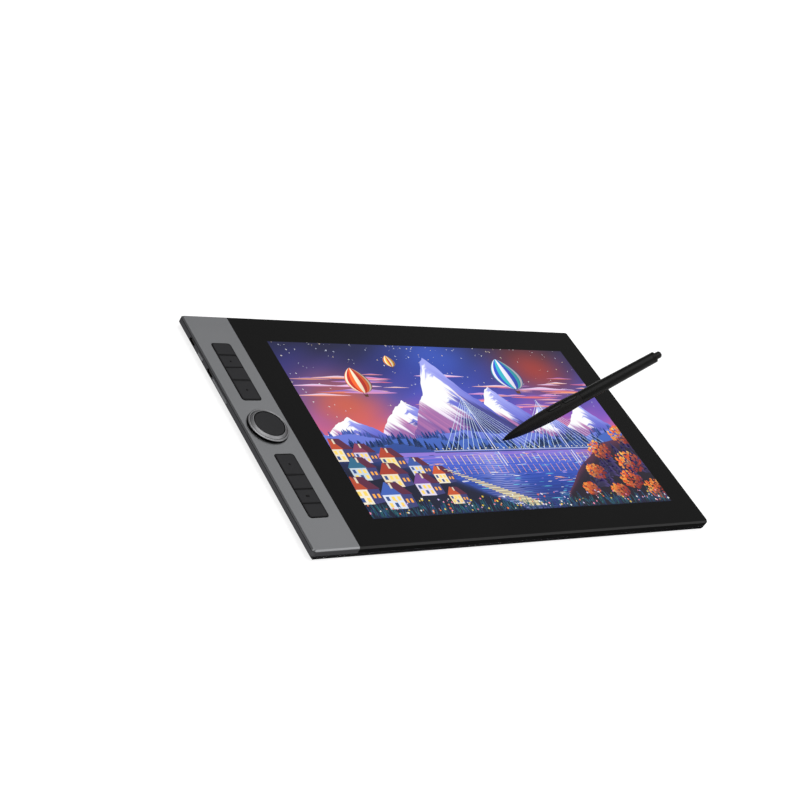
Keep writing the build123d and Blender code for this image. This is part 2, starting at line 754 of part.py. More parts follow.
# Touch carrier, its board and the disc that the finger strokes
carrier_radius = dial_bore_radius - touch_gap
disc_z = disc_top_z - touch_dish - touch_gap
pieces["touch_carrier"] = dial_spot * turned([
    (0, carrier_z - carrier_spigot),
    (hub_bore_radius, carrier_z - carrier_spigot),
    (hub_bore_radius, carrier_z),
    (carrier_radius, carrier_z),
    (carrier_radius, carrier_z + carrier_thickness),
    (0, carrier_z + carrier_thickness),
])
pieces["touch_board"] = dial_spot * disc(0, 0, carrier_radius - touch_gap / 2,
                                         carrier_z + carrier_thickness, disc_z)
dish = ThreePointArc((0, 0, disc_top_z - touch_dish),
                     (carrier_radius / 2, 0, disc_top_z - touch_dish * 3 / 4),
                     (carrier_radius - touch_gap, 0, disc_top_z))
disc_side = Polyline((carrier_radius - touch_gap, 0, disc_top_z), (carrier_radius, 0, disc_top_z),
                     (carrier_radius, 0, disc_z), (0, 0, disc_z), (0, 0, disc_top_z - touch_dish))
pieces["touch_disc"] = dial_spot * revolve(make_face([dish, disc_side]), Axis.Z)

# Dial ring: turned aluminium, bevelled outside, rising to a lip round the disc
bevel_radius = dial_radius - dial_bevel_width
groove_radius = bevel_radius - dial_groove_width * 2
groove_z = dial_edge_z + dial_bevel_drop / 2
ring = turned([
    (dial_radius, dial_skirt_z),
    (dial_radius, dial_edge_z - dial_bevel_drop / 2),
    (bevel_radius, groove_z),
    (groove_radius + dial_groove_width, groove_z),
    (groove_radius, groove_z - dial_groove_depth),
    (groove_radius - dial_groove_width, groove_z),
    (dial_bore_radius + dial_lip_width, dial_top_z),
    (dial_bore_radius, dial_top_z),
    (dial_bore_radius, bearing_z + bearing_thickness),
    (journal_radius + journal_fit, bearing_z + bearing_thickness),
    (journal_radius + journal_fit, bearing_z),
    (dial_radius - dial_skirt_wall, bearing_z),
    (dial_radius - dial_skirt_wall, dial_skirt_z),
])
pieces["dial_ring"] = dial_spot * ring
magnet_z = board_top_z + hall_height + magnet_gap
pieces["dial_magnet"] = dial_spot * turned([
    (magnet_outer - magnet_wall, magnet_z),
    (magnet_outer, magnet_z),
    (magnet_outer, bearing_z),
    (magnet_outer - magnet_wall, bearing_z),
])
hall_x = key_x + magnet_outer - magnet_wall / 2
hall_half = hall_size / 2
pieces["hall_sensor"] = block(hall_x - hall_half, hall_x + hall_half,
                              dial_y - hall_half, dial_y + hall_half,
                              board_top_z, board_top_z + hall_height)

# Pen, built upright on its tip and then tilted into place
tilt = math.radians(pen_tilt)
heading = math.radians(pen_heading)
pen_axis = Vector(math.cos(tilt) * math.cos(heading), math.cos(tilt) * math.sin(heading), math.sin(tilt))
pen_up = Vector(-math.sin(tilt) * math.cos(heading), -math.sin(tilt) * math.sin(heading), math.cos(tilt))
nib_centre = Vector(screen_x + pen_nib_x, screen_y + pen_nib_y, top_z + nib_gap + nib_radius)
pen_plane = Plane(origin=nib_centre - pen_axis * nib_radius, x_dir=pen_up, z_dir=pen_axis)
pen_place = pen_plane.location * Rot(0, 0, pen_button_turn)

coil_radius = core_radius + coil_wall
front_bore = coil_radius + coil_gap
main_bore = pen_board_width / 2 + pen_board_fit
nose_end = nib_show + nose_length
sensor_start = nose_end + nose_spigot + core_length + pen_fit
sensor_end = sensor_start + sensor_body_length
pad_start = sensor_end + pen_button_lead
grip_end = pad_start + 2 * pen_button_length + pen_button_web + grip_tail
tail_end = pen_length - eraser_show
tail_start = tail_end - tail_length
nib_end = sensor_start + nib_travel
bore_step = sensor_start - pen_fit


def placed(piece):
    """A pen piece moved from its upright frame to where the pen stands."""
    return pen_place * piece


def turned_curve(curve, points):
    """A turned solid whose outer side is a curve, closed by the other points."""
    start = curve @ 1
    end = curve @ 0
    rest = Polyline([(start.X, 0, start.Z)] + [(r, 0, z) for r, z in points] + [(end.X, 0, end.Z)])
    return revolve(make_face([curve, rest]), Axis.Z)


# Nib, nose cone, grip, barrel and tail
nib = disc(0, 0, nib_radius, nib_radius, nib_end)
nib = nib + Pos(0, 0, nib_radius) * Sphere(nib_radius)
pieces["pen_nib"] = placed(nib)
nose_curve = Spline([(nose_tip_radius, 0, nib_show),
                     ((nose_tip_radius + nose_radius) / 2 + nib_fit, 0, nib_show + nose_length / 2),
                     (nose_radius, 0, nose_end)])
nose = turned_curve(nose_curve, [
    (front_bore - pen_fit, nose_end),
    (front_bore - pen_fit, nose_end + nose_spigot),
    (front_bore - pen_fit - nose_wall, nose_end + nose_spigot),
    (front_bore - pen_fit - nose_wall, nose_end),
    (nib_radius + nib_fit, nib_show + nose_length / 3),
    (nib_radius + nib_fit, nib_show),
])
pieces["pen_nose_cone"] = placed(nose)
grip_curve = Spline([(nose_radius, 0, nose_end),
                     (grip_radius, 0, nose_end + grip_belly),
                     (grip_end_radius, 0, grip_end)])
grip = turned_curve(grip_curve, [
    (main_bore, grip_end),
    (main_bore, bore_step),
    (front_bore, bore_step),
    (front_bore, nose_end),
])
barrel = turned([
    (main_bore, grip_end),
    (grip_end_radius, grip_end),
    (barrel_end_radius, tail_start),
    (main_bore, tail_start),
])
pieces["pen_barrel"] = placed(barrel)
eraser_bore = eraser_radius + eraser_fit
pieces["pen_tail_cap"] = placed(turned([
    (eraser_bore, tail_start - tail_length),
    (main_bore - pen_fit, tail_start - tail_length),
    (main_bore - pen_fit, tail_start),
    (barrel_end_radius, tail_start),
    (barrel_end_radius, tail_end - tail_chamfer),
    (barrel_end_radius - tail_chamfer, tail_end),
    (eraser_bore, tail_end),
]))
eraser_start = tail_end - eraser_hold
dome_radius = (eraser_radius ** 2 + eraser_dome ** 2) / (2 * eraser_dome)
eraser_tip = disc(0, 0, eraser_radius, pen_length - eraser_dome, pen_length)
eraser_tip = eraser_tip & (Pos(0, 0, pen_length - dome_radius) * Sphere(dome_radius))
pieces["pen_eraser"] = placed(disc(0, 0, eraser_radius, eraser_start, pen_length - eraser_dome) + eraser_tip)

# Inside the pen: ferrite core and coil round the nib, pressure sensor, board and switches
core_start = nose_end + nose_spigot
pieces["pen_core"] = placed(disc(0, 0, core_radius, core_start, core_start + core_length)
                            - disc(0, 0, nib_radius + nib_fit, core_start - overrun, sensor_start + overrun))
coil = disc(0, 0, coil_radius, core_start + coil_end, core_start + core_length - coil_end)
pieces["pen_coil"] = placed(coil - disc(0, 0, core_radius, core_start - overrun, sensor_start + overrun))
sensor_body = disc(0, 0, main_bore - pen_fit, sensor_start, sensor_end)
sensor_body = sensor_body - disc(0, 0, nib_radius + nib_fit, sensor_start - overrun,
                                 nib_end + nib_travel + nib_fit)
pieces["pen_pressure_sensor"] = placed(sensor_body)
board_half = board_thickness / 2
eraser_switch_end = eraser_start - eraser_travel - press_gap
pen_board_end = eraser_switch_end - pen_switch_size
pieces["pen_board"] = placed(block(-board_half, board_half, -pen_board_width / 2, pen_board_width / 2,
                                   sensor_end, pen_board_end))

# Side buttons: two pads that follow the grip's surface, each with a stem over its switch
switch_face = board_half + pen_switch_height
stem_end = switch_face + pen_button_travel + press_gap
button_names = ("pen_button_front", "pen_button_rear")
pen_switches = []
slots = []
raised_skin = turned_curve(Spline([(nose_radius + pen_button_proud, 0, nose_end),
                                   (grip_radius + pen_button_proud, 0, nose_end + grip_belly),
                                   (grip_end_radius + pen_button_proud, 0, grip_end)]),
                           [(0, grip_end), (0, nose_end)])
for index, name in enumerate(button_names):
    low = pad_start + index * (pen_button_length + pen_button_web)
    middle = low + pen_button_length / 2
    pad_shape = extrude(Plane.YZ * Pos(0, middle) * SlotOverall(pen_button_length, pen_button_width, 90),
                        grip_radius + overrun)
    pad = raised_skin & pad_shape & block(grip_radius - pen_button_skin, grip_radius + overrun,
                                          -grip_radius, grip_radius, nose_end, grip_end)
    stem = Pos((stem_end + grip_radius - pen_button_skin / 2) / 2, 0, middle) * Rot(0, 90, 0) * Cylinder(
        pen_stem_radius, grip_radius - pen_button_skin / 2 - stem_end)
    pieces[name] = placed(pad + stem)
    slot = extrude(Plane.YZ * Pos(0, middle) * SlotOverall(
        pen_button_length + 2 * pen_button_gap, pen_button_width + 2 * pen_button_gap, 90),
        grip_radius + overrun)
    slots.append(slot)
    half = pen_switch_size / 2
    pen_switches.append(placed(block(board_half, switch_face, -half, half, middle - half, middle + half)))
for slot in slots:
    grip = grip - slot
pieces["pen_grip"] = placed(grip)
pieces["pen_switches"] = Compound(children=pen_switches)
half = pen_switch_size / 2
pieces["pen_eraser_switch"] = placed(block(-board_half, switch_face, -half, half,
                                           pen_board_end, eraser_switch_end))

os.makedirs("parts", exist_ok=True)
for name, shape in pieces.items():
    export_step(shape, f"parts/{name}.step")
print(len(pieces), "nodes")
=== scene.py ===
"""Looks of the pen display: its finishes, its finer surfaces and the picture on its screen.

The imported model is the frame. Sizes are measured on it, or are small named sizes of one piece.
Lengths are in millimetres until a mesh is written, and meshes are in metres.
"""

import json
import logging
import math
from dataclasses import dataclass, field
from enum import Enum
from typing import Callable, Optional, Sequence

import bmesh
import bpy
import numpy as np
from mathutils import Matrix, Vector

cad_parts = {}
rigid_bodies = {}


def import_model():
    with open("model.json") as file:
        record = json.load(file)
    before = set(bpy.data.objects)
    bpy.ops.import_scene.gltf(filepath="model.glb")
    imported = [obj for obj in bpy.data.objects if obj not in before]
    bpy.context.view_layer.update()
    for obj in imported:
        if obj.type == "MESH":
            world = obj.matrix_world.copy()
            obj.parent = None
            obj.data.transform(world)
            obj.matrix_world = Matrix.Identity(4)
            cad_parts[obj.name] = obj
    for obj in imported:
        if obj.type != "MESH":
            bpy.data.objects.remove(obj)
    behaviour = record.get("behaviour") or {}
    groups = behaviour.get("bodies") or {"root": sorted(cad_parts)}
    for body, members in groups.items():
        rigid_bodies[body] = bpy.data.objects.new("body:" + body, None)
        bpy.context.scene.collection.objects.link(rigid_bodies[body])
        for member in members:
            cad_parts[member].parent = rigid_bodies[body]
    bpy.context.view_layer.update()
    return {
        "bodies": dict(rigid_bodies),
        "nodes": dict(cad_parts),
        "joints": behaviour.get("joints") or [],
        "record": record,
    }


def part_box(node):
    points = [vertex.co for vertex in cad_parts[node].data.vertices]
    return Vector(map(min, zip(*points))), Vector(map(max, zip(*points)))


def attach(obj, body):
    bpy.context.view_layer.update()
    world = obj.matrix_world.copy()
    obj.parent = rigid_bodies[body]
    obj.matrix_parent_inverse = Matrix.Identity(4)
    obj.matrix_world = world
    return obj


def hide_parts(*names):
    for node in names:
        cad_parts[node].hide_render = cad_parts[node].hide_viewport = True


Array = np.ndarray
Tree = bpy.types.NodeTree
Socket = bpy.types.NodeSocket
LOG = logging.getLogger("pen_display")
MM = 0.001
TABLET = "tablet"
PEN = "pen"
QUARTER = math.pi / 2
WHITE = (1.0, 1.0, 1.0, 1.0)
# Points nearer than the first become one, and edges shorter than the second go, both in metres
JOINED = 1e-7
VANISHING = 1e-8
# Edges that fold more than this stay sharp
SHARP_FOLD = math.radians(40)


def hex_shares(codes: Sequence[str]) -> Array:
    """Red, green and blue shares of sRGB hex colours, one row each."""
    return np.array([[int(code[i:i + 2], 16) for i in (1, 3, 5)] for code in codes]) / 255


def srgb_to_linear(values: Array) -> Array:
    """Turns sRGB shares to linear light: a straight foot, then a power of 2.4."""
    return np.where(values <= 0.04045, values / 12.92, ((values + 0.055) / 1.055) ** 2.4)


def linear(code: str) -> tuple[float, float, float, float]:
    """Linear red, green and blue of an sRGB hex colour, with an alpha of one."""
    red, green, blue = srgb_to_linear(hex_shares([code])[0])
    return float(red), float(green), float(blue), 1.0


def box_mm(node: str) -> tuple[Array, Array]:
    """Lowest and highest corner of a CAD node, in millimetres.

    Args:
        node: The node's name.

    Returns:
        Two arrays of three numbers.
    """
    low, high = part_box(node)
    return np.array(low) / MM, np.array(high) / MM


def add_node(tree: Tree, kind: str, settings: Optional[dict] = None,
             links: Optional[dict] = None) -> bpy.types.Node:
    """Adds one shader node with its settings and links.

    Args:
        tree: The material's or world's node tree.
        kind: Blender's name of the node type.
        settings: Socket or property names, or socket numbers, with their values.
        links: Socket names or numbers of the new node, with the sockets that feed them.

    Returns:
        The new node.
    """
    node = tree.nodes.new(kind)
    for name, value in (settings or {}).items():
        if isinstance(name, int) or name in node.inputs.keys():
            node.inputs[name].default_value = value
        else:
            setattr(node, name, value)
    for name, source in (links or {}).items():
        tree.links.new(source, node.inputs[name])
    return node


def material_named(name: str, surface: Callable[[Tree], Socket]) -> bpy.types.Material:
    """Finds a material, or builds it.

    Args:
        name: The material's name.
        surface: Adds the shader's nodes to a tree and gives the socket for the surface.

    Returns:
        The material.
    """
    found = bpy.data.materials.get(name)
    if found:
        return found
    made = bpy.data.materials.new(name)
    made.use_nodes = True
    tree = made.node_tree
    tree.nodes.clear()
    add_node(tree, "ShaderNodeOutputMaterial", None, {"Surface": surface(tree)})
    return made


class Grain(Enum):
    """How a surface was made, which sets the pattern that it shows."""

    BLASTED = "bead blasted and anodised"
    ERODED = "moulded against a spark-eroded tool"
    TURNED = "turned on a lathe"
    ROLLED = "rolled sheet"
    ETCHED = "acid-etched glass"


@dataclass(frozen=True)
class Finish:
    """One real finish.

    Attributes:
        name: The material and how its surface was made.
        base: Main colour, sRGB hex.
        tint: Colour that the grain mixes in, sRGB hex.
        metallic: 1 for bare or anodised metal.
        roughness: Middle roughness.
        grain: The pattern's kind.
        grain_mm: Size of one grain, or the pitch of one line.
        relief_mm: Height of the grain.
        mottle_mm: Size of the slow change in tone over the piece.
        spread: How far the roughness follows the grain.
        specular: Specular level, 0.5 for an IOR of 1.5.
        edge: Colour of a metal's reflection at a grazing angle, sRGB hex.
        centre_mm: Axis that turned lines run round.
    """

    name: str
    base: str
    tint: str
    metallic: float = 0.0
    roughness: float = 0.5
    grain: Grain = Grain.ERODED
    grain_mm: float = 0.4
    relief_mm: float = 0.004
    mottle_mm: float = 60.0
    spread: float = 0.08
    specular: float = 0.5
    edge: str = "#ffffff"
    centre_mm: tuple[float, float, float] = (0.0, 0.0, 0.0)

    def pattern(self, tree: Tree) -> Socket:
        """Builds the grain's height pattern on Object coordinates.

        Args:
            tree: The material's node tree.

        Returns:
            A socket from 0 to 1.
        """
        place = add_node(tree, "ShaderNodeTexCoord").outputs["Object"]
        moved = add_node(tree, "ShaderNodeMapping",
                         {"Location": [-c * MM for c in self.centre_mm]}, {"Vector": place})
        per_metre = 1 / (self.grain_mm * MM)
        if self.grain is Grain.TURNED:
            # Blender's ring wave turns 20 radians in each unit of its scale
            wave = add_node(tree, "ShaderNodeTexWave",
                            {"wave_type": "RINGS", "rings_direction": "Z", "Scale": per_metre * math.tau / 20,
                             "Distortion": 0.6, "Detail": 1.0}, {"Vector": moved.outputs[0]})
            return wave.outputs["Fac"]
        if self.grain is Grain.ROLLED:
            # Rolling draws the grain out twenty times along X
            moved = add_node(tree, "ShaderNodeMapping", {"Scale": (0.05, 1.0, 1.0)},
                             {"Vector": moved.outputs[0]})
        detail = 1.0 if self.grain is Grain.ETCHED else 3.0
        noise = add_node(tree, "ShaderNodeTexNoise",
                         {"Scale": per_metre, "Detail": detail, "Roughness": 0.6},
                         {"Vector": moved.outputs[0]})
        return noise.outputs["Fac"]

    def material(self) -> bpy.types.Material:
        """The finish's material, built when it is first asked for."""
        return material_named(self.name, self.surface)

    def surface(self, tree: Tree) -> Socket:
        """Adds the shader, with colour, roughness and bump from the finish's pattern.

        Args:
            tree: The material's node tree.

        Returns:
            The shader's socket.
        """
        height = self.pattern(tree)
        place = add_node(tree, "ShaderNodeTexCoord").outputs["Object"]
        mottle = add_node(tree, "ShaderNodeTexNoise", {"Scale": 1 / (self.mottle_mm * MM), "Detail": 2.0},
                          {"Vector": place}).outputs["Fac"]
        both = add_node(tree, "ShaderNodeMath", {"operation": "MULTIPLY"}, {0: height, 1: mottle})
        colour = add_node(tree, "ShaderNodeMix",
                          {"data_type": "RGBA", 6: linear(self.base), 7: linear(self.tint)},
                          {0: both.outputs[0]})
        rough = add_node(tree, "ShaderNodeMapRange",
                         {"To Min": self.roughness - self.spread, "To Max": self.roughness + self.spread},
                         {"Value": height})
        bump = add_node(tree, "ShaderNodeBump", {"Strength": 1.0, "Distance": self.relief_mm * MM},
                        {"Height": height})
        shader = add_node(tree, "ShaderNodeBsdfPrincipled",
                          {"Metallic": self.metallic, "Specular IOR Level": self.specular,
                           "Specular Tint": linear(self.edge)},
                          {"Base Color": self.colour_after(tree, colour.outputs[2]),
                           "Roughness": rough.outputs[0], "Normal": bump.outputs[0]})
        return shader.outputs[0]

    def colour_after(self, tree: Tree, colour: Socket) -> Socket:
        """Lets a finish change its colour by place. A plain finish leaves it as it is."""
        return colour


@dataclass(frozen=True)
class MaskedFinish(Finish):
    """A finish with a second colour where the mesh's own mask says so.

    Attributes:
        mask: Name of the mesh attribute, 1 where the second colour shows.
        masked: That colour, sRGB hex.
    """

    mask: str = "painted_shade"
    masked: str = "#141414"

    def colour_after(self, tree: Tree, colour: Socket) -> Socket:
        """Mixes in the second colour by the mask.

        Args:
            tree: The material's node tree.
            colour: The colour elsewhere.

        Returns:
            The mixed colour.
        """
        share = add_node(tree, "ShaderNodeAttribute", {"attribute_name": self.mask}).outputs["Fac"]
        mixed = add_node(tree, "ShaderNodeMix", {"data_type": "RGBA", 7: linear(self.masked)},
                         {0: share, 6: colour})
        return mixed.outputs[2]


@dataclass(frozen=True)
class TwoToneFinish(Finish):
    """A finish that changes to another colour below a level.

    Attributes:
        level_mm: Height of the change.
        below: Colour under it, sRGB hex.
        blend_mm: Half the height over which the colour changes.
    """

    level_mm: float = 0.0
    below: str = "#202020"
    blend_mm: float = 0.02

    def colour_after(self, tree: Tree, colour: Socket) -> Socket:
        """Mixes in the lower colour under the level.

        Args:
            tree: The material's node tree.
            colour: The colour above the level.

        Returns:
            The mixed colour.
        """
        place = add_node(tree, "ShaderNodeTexCoord").outputs["Object"]
        height = add_node(tree, "ShaderNodeSeparateXYZ", None, {"Vector": place}).outputs["Z"]
        share = add_node(tree, "ShaderNodeMapRange",
                         {"From Min": (self.level_mm - self.blend_mm) * MM,
                          "From Max": (self.level_mm + self.blend_mm) * MM},
                         {"Value": height})
        mixed = add_node(tree, "ShaderNodeMix", {"data_type": "RGBA", 6: linear(self.below)},
                         {0: share.outputs[0], 7: colour})
        return mixed.outputs[2]


@dataclass(frozen=True)
class PictureFinish:
    """The lit screen: each point's own colour shines through matte, anti-reflection glass.

    Attributes:
        name: The material's name.
        attribute: Colour attribute that the meshes carry.
        strength: How brightly the screen shines.
        dark: Colour of the screen where it is dark, sRGB hex.
        roughness: Roughness of the etched glass over it.
        specular: Specular level, low because of the anti-reflection layer.
        grain_mm: Size of one pit of the etching.
        relief_mm: Depth of the etching.
    """

    name: str = "backlit_panel_under_etched_glass"
    attribute: str = "picture"
    strength: float = 1.0
    dark: str = "#050505"
    roughness: float = 0.3
    specular: float = 0.12
    grain_mm: float = 0.4
    relief_mm: float = 0.0005

    def material(self) -> bpy.types.Material:
        """The screen's material, built when it is first asked for."""
        return material_named(self.name, self.surface)

    def surface(self, tree: Tree) -> Socket:
        """Adds the shader, black where the screen is dark.

        Args:
            tree: The material's node tree.

        Returns:
            The shader's socket.
        """
        place = add_node(tree, "ShaderNodeTexCoord").outputs["Object"]
        etch = add_node(tree, "ShaderNodeTexNoise", {"Scale": 1 / (self.grain_mm * MM), "Detail": 1.0},
                        {"Vector": place})
        bump = add_node(tree, "ShaderNodeBump", {"Strength": 1.0, "Distance": self.relief_mm * MM},
                        {"Height": etch.outputs["Fac"]})
        colour = add_node(tree, "ShaderNodeAttribute", {"attribute_name": self.attribute})
        shader = add_node(tree, "ShaderNodeBsdfPrincipled",
                          {"Base Color": linear(self.dark), "Roughness": self.roughness,
                           "Specular IOR Level": self.specular, "Emission Strength": self.strength},
                          {"Emission Color": colour.outputs["Color"], "Normal": bump.outputs[0]})
        return shader.outputs[0]


@dataclass(frozen=True)
class LightTable(Finish):
    """A table of white acrylic lit from inside, clear from below so that the underside shows.

    Attributes:
        glow: How brightly it shines.
    """

    glow: float = 0.8

    def surface(self, tree: Tree) -> Socket:
        """Adds the shader and lets the back of the faces be clear.

        Args:
            tree: The material's node tree.

        Returns:
            The mixed shader's socket.
        """
        top = super().surface(tree)
        top.node.inputs["Emission Color"].default_value = WHITE
        top.node.inputs["Emission Strength"].default_value = self.glow
        under = add_node(tree, "ShaderNodeNewGeometry").outputs["Backfacing"]
        clear = add_node(tree, "ShaderNodeBsdfTransparent")
        return add_node(tree, "ShaderNodeMixShader", None, {0: under, 1: top, 2: clear.outputs[0]}).outputs[0]


def lattice(first: tuple[float, float], second: tuple[float, float], counts: tuple[int, int]) -> Sequence[Array]:
    """Grids of two evenly spaced values: the first changes from row to row, the second along a row."""
    return np.meshgrid(np.linspace(*first, counts[0]), np.linspace(*second, counts[1]), indexing="ij")


def sheet_faces(rows: int, columns: int, wrap: bool = False) -> Array:
    """Corner numbers of the quads of a grid of points.

    Args:
        rows: Points along the first parameter.
        columns: Points along the second parameter.
        wrap: Whether the second parameter closes on itself.

    Returns:
        One row of four corners for each quad.
    """
    row, column = np.meshgrid(np.arange(rows - 1), np.arange(columns if wrap else columns - 1), indexing="ij")
    ahead = (column + 1) % columns
    corners = [row * columns + column, row * columns + ahead, (row + 1) * columns + ahead,
               (row + 1) * columns + column]
    return np.stack(corners, axis=-1).reshape(-1, 4)


def write_piece(name: str, points: Array, faces: Array) -> bpy.types.Object:
    """Puts points and faces into a new mesh object at the origin.

    Args:
        name: The piece's name.
        points: Millimetre points, one row each.
        faces: Corner numbers, one row each.

    Returns:
        The new object.
    """
    mesh = bpy.data.meshes.new(name)
    mesh.vertices.add(len(points))
    mesh.vertices.foreach_set("co", (np.asarray(points, float) * MM).astype(np.float32).ravel())
    mesh.loops.add(faces.size)
    mesh.loops.foreach_set("vertex_index", faces.astype(np.int32).ravel())
    mesh.polygons.add(len(faces))
    mesh.polygons.foreach_set("loop_start", np.arange(0, faces.size, faces.shape[1], dtype=np.int32))
    mesh.update(calc_edges=True)
    made = bpy.data.objects.new(name, mesh)
    bpy.context.scene.collection.objects.link(made)
    return made


def write_mask(piece: bpy.types.Object, name: str, shares: Array) -> None:
    """Writes a share for each vertex, before vertices are joined.

    Args:
        piece: A new piece.
        name: The attribute's name.
        shares: Values from 0 to 1.
    """
    attribute = piece.data.attributes.new(name, "FLOAT", "POINT")
    attribute.data.foreach_set("value", np.ascontiguousarray(shares, dtype=np.float32))


def repeated_faces(faces: Array, points: int, count: int) -> Array:
    """Corner numbers of count copies of a shape: each copy's are higher by the shape's points."""
    return (faces[None] + points * np.arange(count)[:, None, None]).reshape(-1, faces.shape[1])


def settle(piece: bpy.types.Object) -> bpy.types.Object:
    """Closes seams and poles, turns faces outwards and shades the piece smooth up to an angle.

    Args:
        piece: A new closed piece.

    Returns:
        The same piece.
    """
    shape = bmesh.new()
    shape.from_mesh(piece.data)
    bmesh.ops.remove_doubles(shape, verts=shape.verts, dist=JOINED)
    bmesh.ops.dissolve_degenerate(shape, edges=shape.edges, dist=VANISHING)
    bmesh.ops.recalc_face_normals(shape, faces=shape.faces)
    shape.to_mesh(piece.data)
    shape.free()
    piece.data.shade_smooth()
    piece.data.set_sharp_from_angle(angle=SHARP_FOLD)
    return piece


def place_piece(piece: bpy.types.Object, body: str, finish: Finish | PictureFinish,
                replaces: Sequence[str] = ()) -> None:
    """Gives a piece its finish and body, and hides the nodes that it stands for.

    Args:
        piece: The piece.
        body: The body that it rides on.
        finish: Its finish.
        replaces: CAD nodes that it stands for.
    """
    piece.data.materials.clear()
    piece.data.materials.append(finish.material())
    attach(piece, body)
    if replaces:
        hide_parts(*replaces)
    LOG.info("piece %s on %s: %d faces", piece.name, body, len(piece.data.polygons))


def soft_profile(corners: Sequence[tuple[float, float]], radius: float, steps: int = 4) -> Array:
    """Rounds the inner corners of an open polyline with short curves.

    Each corner gives way to the parabola through the points radius before and after it, whose
    control point is the corner. The radius is cut to 0.45 of the shorter side.

    Args:
        corners: Pairs of numbers.
        radius: How far from the corner the rounding starts.
        steps: Points on each rounding.

    Returns:
        One row for each point.
    """
    nodes = np.array(corners, float)
    path = [nodes[:1]]
    share = np.linspace(0, 1, steps)[:, None]
    for before, here, after in zip(nodes[:-2], nodes[1:-1], nodes[2:]):
        back, ahead = before - here, after - here
        reach = min(radius, 0.45 * np.linalg.norm(back), 0.45 * np.linalg.norm(ahead))
        start = here + back / np.linalg.norm(back) * reach
        end = here + ahead / np.linalg.norm(ahead) * reach
        path.append((1 - share) ** 2 * start + 2 * share * (1 - share) * here + share ** 2 * end)
    path.append(nodes[-1:])
    return np.concatenate(path)


def turned_points(profile: Array, count: int) -> Array:
    """Turns a profile of radius and height about the Z axis.

    Point (i, j) is the radius of row i, turned by j of count equal steps.

    Args:
        profile: Rows of radius and height.
        count: Steps round the axis.

    Returns:
        Points, one row each, the profile's rows outermost.
    """
    turn = np.linspace(0, math.tau, count, endpoint=False)
    radius, height = profile[:, 0, None], profile[:, 1, None]
    grid = np.stack([radius * np.cos(turn), radius * np.sin(turn), height + 0 * turn], axis=-1)
    return grid.reshape(-1, 3)


def turned_piece(name: str, profile: Array, count: int, place: Callable[[Array], Array],
                 mask: str = "", shares: Optional[Array] = None) -> bpy.types.Object:
    """Makes a closed turned piece and puts it in its place.

    Args:
        name: The piece's name.
        profile: Rows of radius and height, from pole to pole or round a closed outline.
        count: Steps round the axis.
        place: Moves points from the turned frame to the model's.
        mask: Name of a mask to write, if any.
        shares: The mask's value for each row of the profile.

    Returns:
        The new piece.
    """
    points = place(turned_points(profile, count))
    piece = write_piece(name, points, sheet_faces(len(profile), count, wrap=True))
    if mask:
        write_mask(piece, mask, np.repeat(np.asarray(shares, float), count))
    return settle(piece)


@dataclass(frozen=True)
class RoundedLoop:
    """A rectangle with a rounding of its own at each corner.

    Attributes:
        low: Lowest x and y.
        high: Highest x and y.
        radii: Roundings at the high-high, low-high, low-low and high-low corner.
        steps: Points on each rounding.
    """

    low: tuple[float, float]
    high: tuple[float, float]
    radii: tuple[float, float, float, float]
    steps: int = 7

    @property
    def count(self) -> int:
        """Points on the whole loop."""
        return 4 * self.steps

    def turns(self) -> Array:
        """Which way each point of the loop faces, in radians, one row for each corner."""
        return np.linspace(0, QUARTER, self.steps)[None, :] + np.arange(4)[:, None] * QUARTER

    def at(self, inset: float) -> Array:
        """The loop drawn in by inset: each corner keeps its centre and loses inset of radius.

        Args:
            inset: How far in. A negative one draws the loop outwards.

        Returns:
            Points, one row each.
        """
        radii = np.array(self.radii)
        signs = np.array([(1, 1), (-1, 1), (-1, -1), (1, -1)])
        outer = np.where(signs > 0, np.array(self.high), np.array(self.low))
        centres = outer - signs * radii[:, None]
        turn = self.turns()
        reach = np.maximum(radii - inset, 0)[:, None]
        spots = np.stack([centres[:, 0, None] + reach * np.cos(turn),
                          centres[:, 1, None] + reach * np.sin(turn)], axis=-1)
        return spots.reshape(-1, 2)


def column(loop: RoundedLoop, profile: Array, crown: float, rings: int = 6,
           near: Sequence[float] = ()) -> tuple[Array, Array]:
    """Carries a profile round a loop and closes both its ends.

    Row i is the loop drawn in by the profile's inset at the profile's height. The last row goes on
    to the middle in rings, where the height changes by crown times one less the ring's share squared.

    Args:
        loop: The outline.
        profile: Rows of inset and height, from the foot to the rim of the top.
        crown: How far the middle stands over the rim, negative for a dish.
        rings: Rings between the rim and the middle.
        near: Shares of further rings, close to the rim.

    Returns:
        Points, row by row from the foot's middle to the top's, and the corner numbers of the quads.
    """
    rows = [np.column_stack([loop.at(inset), np.full(loop.count, height)]) for inset, height in profile]
    middle = rows[-1].mean(axis=0)
    for share in (*near, *np.linspace(1, 0, rings + 1)[1:]):
        ring = middle + (rows[len(profile) - 1] - middle) * share
        ring[:, 2] = profile[-1, 1] + crown * (1 - share ** 2)
        rows.append(ring)
    foot = rows[0].mean(axis=0) + 0 * rows[0]
    return np.concatenate([foot] + rows), sheet_faces(len(rows) + 1, loop.count, wrap=True)


def rim_profile(foot: float, top: float, radius: float, steps: int = 5) -> Array:
    """A straight side that turns into the top over a quarter circle.

    Args:
        foot: Height of the foot.
        top: Height of the top.
        radius: Radius of the quarter circle.
        steps: Points on it.

    Returns:
        Rows of inset and height.
    """
    turn = np.linspace(0, QUARTER, steps)
    arc = np.column_stack([radius * (1 - np.cos(turn)), top - radius + radius * np.sin(turn)])
    return np.concatenate([[(0.0, foot)], arc])
